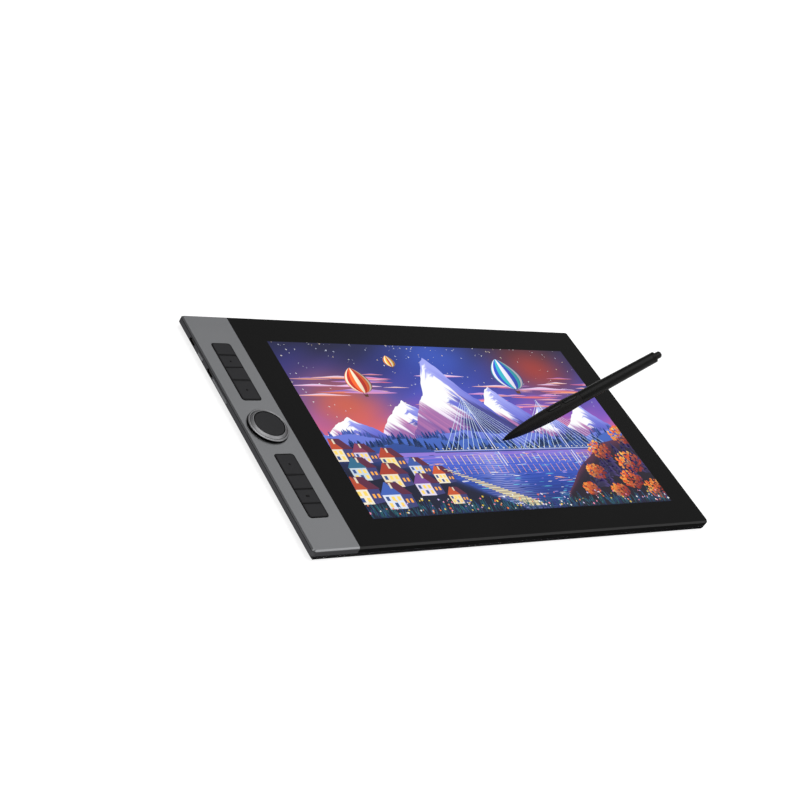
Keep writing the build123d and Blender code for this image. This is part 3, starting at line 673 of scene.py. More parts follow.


# Anodised aluminium, bead blasted: satin, an even fine sparkle and no direction. The real grit is
# near 0.1 mm and is drawn at 0.35 mm so that it shows.
# Below 9.95 mm the foot of the chamfer and the skirt's walls are darker: painted shade on the same aluminium.
STRIP_PLATE = TwoToneFinish("anodised_aluminium_blasted_grey", "#848587", "#7a7b7d", metallic=1.0,
                            roughness=0.34, grain=Grain.BLASTED, grain_mm=0.35, relief_mm=0.005,
                            edge="#a0a0a0", level_mm=9.95, below="#464648")
SIDE_BUTTON = Finish("anodised_aluminium_blasted_dark", "#666769", "#595a5c", metallic=1.0, roughness=0.38,
                     grain=Grain.BLASTED, grain_mm=0.35, relief_mm=0.003)
# The rear cover's flat is the strip's grey, and its leaning sides are coloured nearly black
REAR_SHELL = TwoToneFinish("anodised_aluminium_blasted_rear", "#303031", "#2a2a2b", metallic=1.0,
                           roughness=0.42, edge="#505050", grain=Grain.BLASTED, grain_mm=0.35, relief_mm=0.005,
                           level_mm=1.35, below="#8a8b8d")
# ABS and polycarbonate moulded against a spark-eroded tool: matte, with shallow pits
FRAME_MOULDING = Finish("abs_spark_eroded_black", "#0a0a0a", "#060606", roughness=0.6, grain_mm=0.5,
                        relief_mm=0.008, specular=0.008)
# The keys' mask paints near-black shade on their sides and on each block's outer rim, and darkens the raised
# marks all over.
KEY_MOULDING = MaskedFinish("abs_spark_eroded_charcoal", "#2c2c2e", "#232325", roughness=0.5, grain_mm=0.45,
                            relief_mm=0.005, specular=0.1, mask="side", masked="#0e0e0f")
# The disc's mask paints near-black shade on the rounded fall of its rim.
DISC_MOULDING = MaskedFinish("polycarbonate_satin_charcoal", "#242426", "#1f1f21", roughness=0.4,
                             grain_mm=0.3, relief_mm=0.002, specular=0.12, mask="side", masked="#080808")
# Aluminosilicate glass, acid etched in front and printed black behind: an even near-black with a
# wide soft gloss. The anti-reflection layer is why its specular level is so low.
# Below 10.95 mm the chamfer and the edges are a lighter grey: a painted highlight.
FRONT_GLASS = TwoToneFinish("etched_cover_glass_black_print", "#151515", "#121212", roughness=0.4,
                            grain=Grain.ETCHED, grain_mm=0.4, relief_mm=0.0006, specular=0.03, spread=0.03,
                            level_mm=10.95, below="#353535")
# Silicone rubber: dull, it holds almost no reflection
FOOT_RUBBER = Finish("silicone_rubber_black", "#161616", "#0e0e0e", roughness=0.8, grain_mm=0.6,
                     relief_mm=0.01, specular=0.15)
GRIP_RUBBER = Finish("silicone_grip_black", "#1c1a19", "#141312", roughness=0.5, grain_mm=0.35,
                     relief_mm=0.003, specular=0.12)
# Soft-touch paint on ABS: dark, with a broad soft highlight
PEN_PAINT = Finish("soft_touch_paint_black", "#141413", "#0f0f0e", roughness=0.4, grain_mm=0.3,
                   relief_mm=0.002, specular=0.15)
# Acetal as moulded: smooth, with a faintly waxy gloss
PEN_BUTTON = Finish("pom_satin_black", "#131313", "#0e0e0e", roughness=0.34, grain_mm=0.3, relief_mm=0.002,
                    specular=0.16)
NIB_POM = Finish("pom_as_moulded_black", "#1a1a1a", "#131313", roughness=0.4, grain_mm=0.3, relief_mm=0.002,
                 specular=0.2)
# Thermoplastic elastomer: like soft rubber, a little smoother
ERASER = Finish("elastomer_cap_black", "#171717", "#101010", roughness=0.45, grain_mm=0.4, relief_mm=0.003,
                specular=0.2)
# Nickel-plated drawn steel, its colour darkened as painted shade inside the port; its gloss runs along the
# rolling
PORT_STEEL = Finish("nickel_steel_painted_shade", "#3c3b3a", "#333231", metallic=1.0, roughness=0.34,
                    grain=Grain.ROLLED, grain_mm=0.3, relief_mm=0.001)
# Gold plate on rolled strip: warm, its colour dimmed as painted shade inside the port
CONTACT_GOLD = Finish("gold_plated_contact", "#a8863c", "#94742f", metallic=1.0, roughness=0.3,
                      grain=Grain.ROLLED, grain_mm=0.2, relief_mm=0.0005)
# Zinc-plated steel and bare aluminium sheet: pale grey, the gloss drawn out along the rolling
ZINC_STEEL = Finish("zinc_plated_steel_sheet", "#b4b6b8", "#a2a5a8", metallic=1.0, roughness=0.35,
                    grain=Grain.ROLLED, grain_mm=0.5, relief_mm=0.002)
SHIELD_SHEET = Finish("aluminium_sheet_rolled", "#c6c8ca", "#b4b7ba", metallic=1.0, roughness=0.35,
                      grain=Grain.ROLLED, grain_mm=0.5, relief_mm=0.002)
# Solder mask on glass cloth: green and glossy, a little uneven
CIRCUIT = Finish("fr4_green_solder_mask", "#1d4a30", "#123222", roughness=0.35, grain_mm=0.6,
                 relief_mm=0.004)
# Filled epoxy moulded round a chip: flat dark grey
CHIP = Finish("moulded_epoxy_package", "#1c1c1e", "#141416", roughness=0.55, grain_mm=0.3, relief_mm=0.003)
# Polyimide film: amber and glossy
FLEX = Finish("polyimide_flex_amber", "#a5611c", "#8b4e14", roughness=0.3, grain=Grain.ROLLED, grain_mm=0.5,
              relief_mm=0.001)
# Acetal and polyester film without pigment: milky white and even
WHITE_MOULDING = Finish("pom_natural_white", "#dedcd4", "#cfcdc5", roughness=0.4, grain_mm=0.4,
                        relief_mm=0.003)
WHITE_SHEET = Finish("pet_film_white", "#e8e8e6", "#dadad8", roughness=0.5, grain_mm=0.5, relief_mm=0.001)
# Acrylic sheet, and glass with a polariser laid on: smooth, with a sharp gloss
CLEAR_SHEET = Finish("pmma_light_guide", "#dfe6ea", "#cfd8de", roughness=0.08, grain=Grain.ETCHED,
                     grain_mm=0.6, relief_mm=0.0005, spread=0.02)
PANEL_GLASS = Finish("panel_glass_with_polariser", "#22242a", "#1a1c22", roughness=0.25,
                     grain=Grain.ETCHED, grain_mm=0.4, relief_mm=0.0005, spread=0.02)
# Foam tape: open cells that swallow the light
TAPE = Finish("foam_tape_black", "#1f1f1f", "#141414", roughness=0.8, grain_mm=0.4, relief_mm=0.01)
# Ferrite pressed and sintered: dull and granular
FERRITE = Finish("sintered_ferrite", "#3b3b3d", "#2c2c2e", roughness=0.6, grain_mm=0.25, relief_mm=0.003)
# Enamelled copper wire, wound: reddish, with fine bright lines
COPPER = Finish("enamelled_copper_wire", "#b8622c", "#8f4820", metallic=1.0, roughness=0.3,
                grain=Grain.ROLLED, grain_mm=0.2, relief_mm=0.003)
PICTURE = PictureFinish()
# White acrylic lit from inside, under everything
LIGHT_TABLE = LightTable("light_table_white", "#a4a4a4", "#a0a0a0", roughness=0.9, grain_mm=3.0,
                         relief_mm=0.0, specular=0.0)

SLOT_FINISHES = {
    "rear_shell": REAR_SHELL, "foot_rubber": FOOT_RUBBER, "black_moulding": FRAME_MOULDING,
    "strip_aluminium": STRIP_PLATE, "front_glass": FRONT_GLASS, "black_tape": TAPE,
    "clear_sheet": CLEAR_SHEET, "panel_glass": PANEL_GLASS, "white_sheet": WHITE_SHEET,
    "pressed_steel": ZINC_STEEL, "circuit_board": CIRCUIT, "shield_aluminium": SHIELD_SHEET,
    "chip_black": CHIP, "amber_flex": FLEX, "port_steel": PORT_STEEL, "white_moulding": WHITE_MOULDING,
    "key_plastic": KEY_MOULDING, "touch_plastic": DISC_MOULDING, "magnet_ferrite": FERRITE,
    "coil_copper": COPPER, "pen_plastic": PEN_PAINT, "grip_rubber": GRIP_RUBBER, "nib_plastic": NIB_POM,
    "button_plastic": PEN_BUTTON, "eraser_plastic": ERASER, "ring_aluminium": STRIP_PLATE,
}


@dataclass
class CarriedNodes:
    """The CAD nodes that keep their own shape.

    Attributes:
        edge_mm: Width of the fine edge break on the visible housing parts.
        edge_steps: Faces across the edge break.
        fold_degrees: Edges that fold more than this are broken.
        weld_mm: Triangle corners nearer than this are joined.
        softened: Nodes whose edges are broken.
    """

    frame: dict
    edge_mm: float = 0.14
    edge_steps: int = 2
    fold_degrees: float = 32.0
    weld_mm: float = 0.001
    softened: tuple[str, ...] = ("control_strip", "cover_glass", "mid_frame", "rear_cover", "usb_ports")

    def dress(self) -> None:
        """Gives every node the finish of its slot, and the housing parts a fine edge break."""
        slots = {part["node"]: part["material_slot"] for part in self.frame["record"]["subparts"]}
        for name, node in self.frame["nodes"].items():
            node.data.materials.clear()
            node.data.materials.append(SLOT_FINISHES[slots[name]].material())
            LOG.info("node %s: %s", name, slots[name])
        for name in self.softened:
            self.soften(self.frame["nodes"][name])

    def soften(self, node: bpy.types.Object) -> None:
        """Joins the node's loose triangles, breaks its sharp edges and keeps its flats flat.

        Args:
            node: A CAD node, whose own mesh stays as it is.
        """
        weld = node.modifiers.new("joined", "WELD")
        weld.merge_threshold = self.weld_mm * MM
        bevel = node.modifiers.new("edge_break", "BEVEL")
        bevel.width = self.edge_mm * MM
        bevel.segments = self.edge_steps
        bevel.limit_method = "ANGLE"
        bevel.angle_limit = math.radians(self.fold_degrees)
        bevel.use_clamp_overlap = True
        flats = node.modifiers.new("flat_faces", "WEIGHTED_NORMAL")
        flats.keep_sharp = False


class Mark(Enum):
    """The raised mark on a key."""

    DOT = "round dot"
    BAR = "bar with round ends"


@dataclass
class KeyBlocks:
    """Eight key caps: moulded slabs with a softly rounded rim, a shallow dish and raised marks.

    Attributes:
        keys: Keys in each block.
        gap: Gap round the block in its window.
        flange: How far a key's hidden flange reaches past its window on each side.
        block_radius: Rounding of the block's outer corners.
        corner: Rounding of the corners inside a block.
        rim: Radius of the rim.
        rim_shade: Share of the rim over which the painted shade of the sides fades.
        dish: Depth of the dish.
        mark_radius: Radius of a raised dot, and half the width of a bar.
        mark_height: How far a mark stands up.
        mark_crown: How far the middle of a mark stands over its rim.
        bar_length: Length of the raised bar.
        seat: How deep a mark is sunk in its cap.
        outline_shares: Where the painted shade along a block's outline fades, as shares of the way out from a
            key's middle.
        outline_shade: How dark that painted shade is.
        marks: The keys that have a mark.
    """

    keys: int = 4
    gap: float = 0.25
    flange: float = 0.8
    block_radius: float = 2.75
    corner: float = 0.5
    rim: float = 0.5
    rim_shade: float = 0.3
    dish: float = 0.12
    mark_radius: float = 0.9
    mark_height: float = 0.3
    mark_crown: float = 0.02
    bar_length: float = 3.4
    seat: float = 0.3
    outline_shares: tuple[float, float] = (0.935, 0.9)
    outline_shade: float = 0.9
    marks: dict[str, Mark] = field(default_factory=lambda: {
        "key_back_1": Mark.DOT, "key_back_3": Mark.DOT, "key_front_1": Mark.DOT, "key_front_3": Mark.BAR})

    def build(self) -> None:
        """Makes each cap with its mark, as one piece on the key's own body."""
        for side in ("back", "front"):
            for number in range(1, self.keys + 1):
                name = f"key_{side}_{number}"
                low, high = box_mm(name)
                top = high[2] - (self.mark_height if name in self.marks else 0)
                at_end = number in (1, self.keys)
                toward_back = (number == self.keys) == (side == "back")
                ends = (at_end and not toward_back, at_end and toward_back)
                front, back = (self.block_radius if end else self.corner for end in ends)
                loop = RoundedLoop((low[0] + self.flange + self.gap, low[1]),
                                   (high[0] - self.flange - self.gap, high[1]), (back, back, front, front))
                self.cap(name, loop, low[2], top, ends)

    def outline(self, loop: RoundedLoop, rows: int, dark_rows: int, ends: tuple[bool, bool]) -> Array:
        """Shares of painted shade on the rim, where the rim is on the outside of its block.

        Args:
            loop: The cap's outline.
            rows: Rows of the cap's grid.
            dark_rows: How many of them are dark, from the foot.
            ends: Whether the front and the back end are on the block's outside.

        Returns:
            One share for each point of the grid.
        """
        turn = loop.turns().ravel()
        at_end = np.where(np.sin(turn) > 0, ends[1], ends[0]) * np.abs(np.sin(turn))
        return self.outline_shade * np.outer(np.arange(rows) < dark_rows,
                                            np.maximum(np.abs(np.cos(turn)), at_end)).ravel()

    def mark(self, kind: Mark, loop: RoundedLoop, top: float) -> tuple[Array, Array]:
        """Makes a raised dot or bar, sunk a little into the middle of its cap.

        Its side is a quarter of an oval: inset = radius * (1 - cos), height = full height * sin.

        Args:
            kind: A dot or a bar.
            loop: The cap's outline.
            top: Height of the cap's rim.

        Returns:
            Its points and faces.
        """
        half = self.mark_radius if kind is Mark.DOT else self.bar_length / 2
        middle = (np.array(loop.low) + np.array(loop.high)) / 2
        reach = (half, self.mark_radius)
        outline = RoundedLoop(tuple(middle - reach), tuple(middle + reach), (self.mark_radius,) * 4)
        turn = np.linspace(0, QUARTER, 6)[:-1]
        dome = np.column_stack([self.mark_radius * (1 - np.cos(turn)),
                                top - self.dish + (self.mark_height + self.dish) * np.sin(turn)])
        return column(outline, np.concatenate([[(0.0, top - self.seat)], dome]), self.mark_crown, rings=2)

    def cap(self, name: str, loop: RoundedLoop, foot: float, top: float, ends: tuple[bool, bool]) -> None:
        """Makes one cap.

        Args:
            name: The key's node and body.
            loop: Its outline from above.
            foot: Height of its underside.
            top: Height of its rim.
            ends: Whether its front and its back end are on the block's outside.
        """
        profile = rim_profile(foot, top, self.rim)
        points, faces = column(loop, profile, -self.dish, near=self.outline_shares)
        side_rows = len(profile) + 1
        # Painted shade: the sides grow dark under the rim, and the rim darkens where it is on the block's
        # outside.
        side = np.clip((top - points[:, 2]) / (self.rim_shade * self.rim), 0, 1)
        side = np.where(np.arange(len(points)) < side_rows * loop.count, side, 0)
        side = np.maximum(side, self.outline(loop, len(points) // loop.count, side_rows + 1, ends))
        if name in self.marks:
            raised, more = self.mark(self.marks[name], loop, top)
            faces = np.concatenate([faces, more + len(points)])
            points = np.concatenate([points, raised])
            # The raised marks take the mask's dark colour all over.
            side = np.concatenate([side, np.ones(len(raised))])
        piece = write_piece(f"{name}_cap", points, faces)
        write_mask(piece, KEY_MOULDING.mask, side)
        place_piece(settle(piece), name, KEY_MOULDING, (name,))


@dataclass
class Dial:
    """The turned ring, and the touch disc that stands still inside it.

    Attributes:
        count: Steps round the axis.
        edge: Rounding of the turned edges.
        bevel_width: Width of the ring's outer bevel.
        bevel_drop: How far the bevel falls over its width.
        groove_width: Half the mouth of the groove inside the bevel.
        groove_depth: Depth of that groove.
        groove_shade: How much painted shade darkens it.
        lip_width: Width of the flat lip round the bore.
        ring_width: From the bore to the outside.
        outer_rise: Height of the bevel's middle over the strip.
        skirt_wall: Thickness of the skirt under the web.
        skirt_seam: Height over the skirt's foot at which the outline starts and ends.
        journal_radius: Radius of the bore that runs on the hub's journal.
        web_top: Height of the web's top.
        web_foot: Height of the web's underside.
        shade_margin: How far the border of the painted shade lies from an edge.
        dish: Depth of the disc's dish.
        touch_gap: Gap between the disc and the ring.
        rim_width: Width of the disc's rounded rim.
        rim_drop: How far that rim falls.
        shade_start: How far under its top the painted shade on the disc's side starts.
        shade_fade: Height over which that painted shade grows dark.
    """

    count: int = 256
    edge: float = 0.12
    bevel_width: float = 0.8
    bevel_drop: float = 0.6
    groove_width: float = 0.45
    groove_depth: float = 0.4
    groove_shade: float = 0.75
    lip_width: float = 0.5
    ring_width: float = 4.0
    outer_rise: float = 2.1
    skirt_wall: float = 1.5
    skirt_seam: float = 0.4
    journal_radius: float = 10.65
    web_top: float = 12.1
    web_foot: float = 11.1
    shade_margin: float = 0.02
    dish: float = 0.25
    touch_gap: float = 0.4
    rim_width: float = 0.9
    rim_drop: float = 0.55
    shade_start: float = 0.15
    shade_fade: float = 0.2

    def __post_init__(self) -> None:
        """Measures the ring and finds its axis."""
        self.low, self.high = box_mm("dial_ring")
        self.centre = (self.low + self.high) / 2
        self.outer = (self.high[0] - self.low[0]) / 2
        self.bore = self.outer - self.ring_width

    def build(self) -> None:
        """Makes the ring and the disc round the axis that the frame gives."""
        self.ring()
        self.disc()

    def ring(self) -> None:
        """Ring: skirt, bevel, groove, cone and lip outside, and a web that runs on the journal."""
        foot, outer, bore = self.low[2], self.outer, self.bore
        edge_top = box_mm("control_strip")[1][2] + self.outer_rise
        bevel = outer - self.bevel_width
        bevel_foot, bevel_top = edge_top - self.bevel_drop / 2, edge_top + self.bevel_drop / 2
        groove = bevel - 2 * self.groove_width
        skirt = outer - self.skirt_wall
        corners = [(skirt, foot + self.skirt_seam), (skirt, foot), (outer, foot), (outer, bevel_foot),
                   (bevel, bevel_top), (groove + self.groove_width, bevel_top),
                   (groove, bevel_top - self.groove_depth), (groove - self.groove_width, bevel_top),
                   (bore + self.lip_width, self.high[2]), (bore, self.high[2]), (bore, self.web_top),
                   (self.journal_radius, self.web_top), (self.journal_radius, self.web_foot),
                   (skirt, self.web_foot), (skirt, foot + self.skirt_seam)]
        profile = soft_profile(corners, self.edge)
        # Painted shade: the outer wall under the bevel and the bore are near-black, and the groove mostly so.
        painted_shade = (profile[:, 1] < bevel_foot - self.shade_margin) | (profile[:, 0] < bore + self.shade_margin)
        in_groove = np.abs(profile[:, 0] - groove) < 0.5 * self.groove_width
        finish = ring_finish(self.centre)
        ring = turned_piece("dial_ring_turned", profile, self.count, self.moved, finish.mask,
                            np.maximum(painted_shade, self.groove_shade * in_groove))
        place_piece(ring, "dial", finish, ("dial_ring",))

    def disc(self) -> None:
        """Touch disc: a shallow bowl whose height rises with the radius squared, and a rounded rim."""
        radius = self.bore - self.touch_gap
        low, high = box_mm("touch_disc")
        share = np.linspace(0, 1, 12)
        flat = radius - self.rim_width
        bowl = np.column_stack([flat * share, high[2] - self.dish * (1 - share ** 2)])
        turn = np.linspace(0, QUARTER, 8)[1:]
        rim = np.column_stack([flat + self.rim_width * np.sin(turn),
                               high[2] - self.rim_drop * (1 - np.cos(turn))])
        foot = np.array([(radius, low[2]), (0.0, low[2])])
        profile = np.concatenate([bowl, rim, foot])
        # Painted shade: the rim's fall grows near-black under the top.
        side = np.clip((high[2] - self.shade_start - profile[:, 1]) / self.shade_fade, 0, 1)
        disc = turned_piece("touch_disc_dished", profile, self.count, self.moved, DISC_MOULDING.mask,
                            side * (profile[:, 0] > flat))
        place_piece(disc, TABLET, DISC_MOULDING, ("touch_disc",))

    def moved(self, points: Array) -> Array:
        """Moves turned points from the Z axis to the dial's axis."""
        return points + (self.centre[0], self.centre[1], 0.0)


def ring_finish(centre: Array) -> MaskedFinish:
    """Turned aluminium: fine rings round the axis stretch the highlight, and its mask paints near-black shade.
    """
    return MaskedFinish("anodised_aluminium_turned", "#9a9a9c", "#868688", metallic=1.0, roughness=0.5,
                        grain=Grain.TURNED, grain_mm=0.3, relief_mm=0.0015, mask="painted_shade", masked="#161617",
                        centre_mm=(float(centre[0]), float(centre[1]), 0.0))


@dataclass
class SidePanel:
    """Power button, rocker and port contacts in the left wall.

    Attributes:
        lengths: Length of each cap.
        cap_height: Height of both caps.
        cap_root: How far a cap reaches in behind the wall.
        rim: Rounding of a cap's rim.
        port_width: Width of a port's shell.
        tongue_start: How far behind the shell's mouth the contacts start.
        tongue_half: Half the thickness of a port's tongue.
        contacts_across: Contacts on one face of a tongue.
        contact_width: Width of a contact.
        contact_pitch: From one contact to the next.
        contact_length: Length of a contact.
        contact_thickness: Thickness of a contact.
    """

    lengths: dict[str, float] = field(default_factory=lambda: {"power_button": 9.0, "brightness_rocker": 27.0})
    cap_height: float = 2.4
    cap_root: float = 2.2
    rim: float = 0.3
    port_width: float = 8.94
    tongue_start: float = 1.2
    tongue_half: float = 0.35
    contacts_across: int = 12
    contact_width: float = 0.25
    contact_pitch: float = 0.5
    contact_length: float = 4.2
    contact_thickness: float = 0.03

    def build(self) -> None:
        """Makes both buttons and the ports' contacts."""
        for name, length in self.lengths.items():
            self.button(name, length)
        self.contacts()

    def button(self, name: str, length: float) -> None:
        """Makes one round-ended cap: a loop in the wall's plane, carried outwards along -X.

        Args:
            name: The CAD node and its body.
            length: The cap's length.
        """
        low, high = box_mm(name)
        wall = box_mm("control_strip")[0][0]
        middle = (low + high) / 2
        half = (length / 2, self.cap_height / 2)
        loop = RoundedLoop((-half[0], -half[1]), half, (half[1],) * 4)
        grid, faces = column(loop, rim_profile(-self.cap_root, wall - low[0], self.rim), 0.0)
        placed = np.column_stack([wall - grid[:, 2], middle[1] + grid[:, 0], middle[2] + grid[:, 1]])
        piece = settle(write_piece(f"{name}_cap", placed, faces))
        place_piece(piece, name, SIDE_BUTTON, (name,))

    def contacts(self) -> None:
        """Lays twelve gold contacts on each face of both tongues, all as one piece of small boxes."""
        low, high = box_mm("usb_ports")
        height = (low[2] + high[2]) / 2
        places = np.arange(self.contacts_across) - (self.contacts_across - 1) / 2
        middles = (low[1] + self.port_width / 2, high[1] - self.port_width / 2)
        centres_y = np.concatenate([middle + places * self.contact_pitch for middle in middles])
        sides = np.array([-1.0, 1.0])
        y, side = (grid.ravel() for grid in np.meshgrid(centres_y, sides, indexing="ij"))
        corner = np.array([(x, w, t) for x in (0, 1) for w in (-0.5, 0.5) for t in (0, 1)], float)
        points = corner[None] * (self.contact_length, self.contact_width, self.contact_thickness)
        start = low[0] + self.tongue_start
        spots = np.stack([start + points[:, :, 0] + 0 * y[:, None], y[:, None] + points[:, :, 1],
                          height + side[:, None] * (self.tongue_half + points[:, :, 2])], axis=-1)
        quads = np.array([(0, 1, 3, 2), (4, 6, 7, 5), (0, 4, 5, 1), (2, 3, 7, 6), (0, 2, 6, 4), (1, 5, 7, 3)])
        faces = repeated_faces(quads, len(corner), len(y))
        piece = settle(write_piece("port_contacts", spots.reshape(-1, 3), faces))
        place_piece(piece, TABLET, CONTACT_GOLD)


@dataclass
class Feet:
    """Two rubber strips with a rounded rim, which the housing lies on.

    Attributes:
        rim: Rounding of the rim.
        width: Width of a strip.
        end_cut: How much smaller the ends' rounding is than half the width.
        end_steps: Points on each rounded corner.
    """

    rim: float = 0.4
    width: float = 12.0
    end_cut: float = 0.15
    end_steps: int = 12

    def build(self) -> None:
        """Makes both strips as one piece, each carried down to the surface that they stand on."""
        low, high = box_mm("foot_strips")
        grids, faces = [], []
        for start in (low[1], high[1] - self.width):
            loop = RoundedLoop((low[0], start), (high[0], start + self.width),
                               (self.width / 2 - self.end_cut,) * 4, self.end_steps)
            grid, quads = column(loop, rim_profile(-high[2], -low[2], self.rim), 0.0)
            grid[:, 2] *= -1
            faces.append(quads + sum(map(len, grids)))
            grids.append(grid)
        piece = settle(write_piece("rubber_feet", np.concatenate(grids), np.concatenate(faces)))
        place_piece(piece, TABLET, FOOT_RUBBER, ("foot_strips",))


@dataclass
class Pen:
    """The stylus: turned shells, a conforming pair of buttons, nib and eraser.

    Attributes:
        counts: Steps round the axis of the turned pieces of each body.
        nib_radius: Radius of the nib.
        tip_radius: Radius of the nose cone at the nib.
        nose_radius: Radius of the nose cone at the grip.
        nose_bulge: How far the cone's side swells past a straight line.
        spigot_length: Length of the cone's spigot inside the grip.
        spigot_radius: Radius of that spigot.
        grip_radius: Radius of the grip at its belly.
        grip_end_radius: Radius of the grip and the barrel where they meet.
        belly: From the grip's front end to its belly.
        barrel_bore: Inner radius of the barrel.
        parting: Width and depth of the parting groove behind the grip.
        tail_radius: Radius of the barrel's end and the tail cap.
        tail_spigot: Radius of the tail cap's spigot.
        tail_bevel: Width of the bevel round the eraser.
        edge: Bevel of the other ends.
        soft: Rounding of the turned edges.
        clearance: Gap round the nib and round the eraser.
        eraser_radius: Radius of the eraser.
        eraser_dome: Height of its dome.
        button_width: Width of a side button.
        button_proud: How far it stands out of the grip.
        button_depth: How deep its sides go into the grip.
        button_rim: Rounding of its rim.
        button_crown: How far its middle stands over its rim.
    """

    frame: dict
    counts: dict[str, int] = field(default_factory=lambda: {PEN: 128, "pen_nib": 48, "pen_eraser": 96})
    nib_radius: float = 0.9
    tip_radius: float = 1.55
    nose_radius: float = 4.35
    nose_bulge: float = 0.3
    spigot_length: float = 3.5
    spigot_radius: float = 3.3
    grip_radius: float = 5.8
    grip_end_radius: float = 5.6
    belly: float = 16.0
    barrel_bore: float = 4.0
    parting: float = 0.25
    tail_radius: float = 4.85
    tail_spigot: float = 3.9
    tail_bevel: float = 0.5
    edge: float = 0.15
    soft: float = 0.1
    clearance: float = 0.3
    eraser_radius: float = 3.05
    eraser_dome: float = 2.4
    button_width: float = 4.6
    button_proud: float = 0.35
    button_depth: float = 0.75
    button_rim: float = 0.35
    button_crown: float = 0.1

    def __post_init__(self) -> None:
        """Finds the pen's own axes: along it, out through its buttons, and across."""
        joints = {joint["name"]: joint for joint in self.frame["joints"]}
        self.along = np.array(joints["pen_lift"]["axis"], float)
        self.out = -np.array(joints["pen_front_press"]["axis"], float)
        self.across = np.cross(self.along, self.out)
        barrel = self.node_points("pen_barrel")
        sides = np.stack([barrel @ self.out, barrel @ self.across], axis=-1)
        middle = (sides.min(axis=0) + sides.max(axis=0)) / 2
        tip = (self.node_points("pen_nib") @ self.along).min()
        self.origin = tip * self.along + middle[0] * self.out + middle[1] * self.across

    def node_points(self, name: str) -> Array:
        """Reads a CAD node's points.

        Args:
            name: The node's name.

        Returns:
            Millimetre points, one row each.
        """
        vertices = self.frame["nodes"][name].data.vertices
        flat = np.empty(len(vertices) * 3)
        vertices.foreach_get("co", flat)
        return flat.reshape(-1, 3) / MM

    def span(self, name: str) -> tuple[float, float]:
        """Where a node starts and ends along the pen, from the tip."""
        places = (self.node_points(name) - self.origin) @ self.along
        return float(places.min()), float(places.max())

    def placed(self, points: Array) -> Array:
        """Moves points from the pen's upright frame to the model's."""
        return (self.origin + points[:, :1] * self.out + points[:, 1:2] * self.across
                + points[:, 2:3] * self.along)

    def grip_curve(self, place: Array) -> Array:
        """The grip's radius: a parabola through its two ends and its belly.

        Args:
            place: Distances from the tip.

        Returns:
            Radii.
        """
        start, end = self.span("pen_grip")
        stations = np.array([start, start + self.belly, end])
        radii = np.array([self.nose_radius, self.grip_radius, self.grip_end_radius])
        return np.polyval(np.polyfit(stations, radii, 2), place)

    def build(self) -> None:
        """Makes the turned shells and the two buttons."""
        self.nose()
        self.barrel()
        self.tail()
        self.nib()
        self.eraser()
        for name in ("pen_button_front", "pen_button_rear"):
            self.button(name)

    def shell(self, name: str, node: str, profile: Array, body: str = PEN, finish: Finish = PEN_PAINT) -> None:
        """Turns one piece about the pen's axis, in place of its node."""
        place_piece(turned_piece(name, profile, self.counts[body], self.placed), body, finish, (node,))

    def nose(self) -> None:
        """Nose cone: from the tip to the grip, a straight side and a swelling of 4 * share * (1 - share)."""
        start, spigot_end = self.span("pen_nose_cone")
        end = spigot_end - self.spigot_length
        share = np.linspace(0, 1, 24)
        bulge = self.nose_bulge * 4 * share * (1 - share)
        radius = self.tip_radius + (self.nose_radius - self.tip_radius) * share + bulge
        outer = np.column_stack([radius, start + (end - start) * share])
        bore = self.nib_radius + self.clearance
        inner = np.array([(self.spigot_radius, end), (self.spigot_radius, spigot_end), (bore, spigot_end),
                          (bore, start + self.edge)])
        lip = np.array([(bore + self.soft, start), (self.tip_radius - self.soft, start)])
        self.shell("pen_nose_shell", "pen_nose_cone", np.concatenate([lip, outer[1:], inner, lip[:1]]))

    def barrel(self) -> None:
        """Barrel: a long taper with a fine parting groove behind the grip."""
        start, end = self.span("pen_barrel")
        inner, front, back = self.barrel_bore, self.grip_end_radius, self.tail_radius
        corners = [(inner, start), (front - self.parting, start), (front, start + self.parting),
                   (back, end - self.edge), (back - self.edge, end), (inner, end), (inner, start)]
        self.shell("pen_barrel_shell", "pen_barrel", soft_profile(corners, self.soft))

    def tail(self) -> None:
        """Tail cap: a short ring with a bevelled end round the eraser."""
        first, end = self.span("pen_tail_cap")
        start = self.span("pen_barrel")[1]
        bore, spigot, outer = self.eraser_radius + self.clearance, self.tail_spigot, self.tail_radius
        corners = [(bore, first), (spigot, first), (spigot, start), (outer - self.edge, start),
                   (outer, start + self.edge), (outer, end - self.tail_bevel), (outer - self.tail_bevel, end),
                   (bore, end), (bore, first)]
        self.shell("pen_tail_ring", "pen_tail_cap", soft_profile(corners, self.soft))

    def nib(self) -> None:
        """Nib: a rod whose end is half a ball."""
        start, end = self.span("pen_nib")
        turn = np.linspace(0, QUARTER, 10)
        ball = np.column_stack([self.nib_radius * np.sin(turn), start + self.nib_radius * (1 - np.cos(turn))])
        profile = np.concatenate([ball, [(self.nib_radius, end), (0.0, end)]])
        self.shell("pen_nib_ball", "pen_nib", profile, "pen_nib", NIB_POM)

    def eraser(self) -> None:
        """Eraser: a short rod whose end is a dome, half of an oval turned round."""
        start, end = self.span("pen_eraser")
        turn = np.linspace(0, 1, 16) * QUARTER
        cap = np.column_stack([self.eraser_radius * np.cos(turn),
                               end - self.eraser_dome + self.eraser_dome * np.sin(turn)])
        profile = np.concatenate([[(0.0, start), (self.eraser_radius, start)], cap])
        self.shell("pen_eraser_dome", "pen_eraser", profile, "pen_eraser", ERASER)

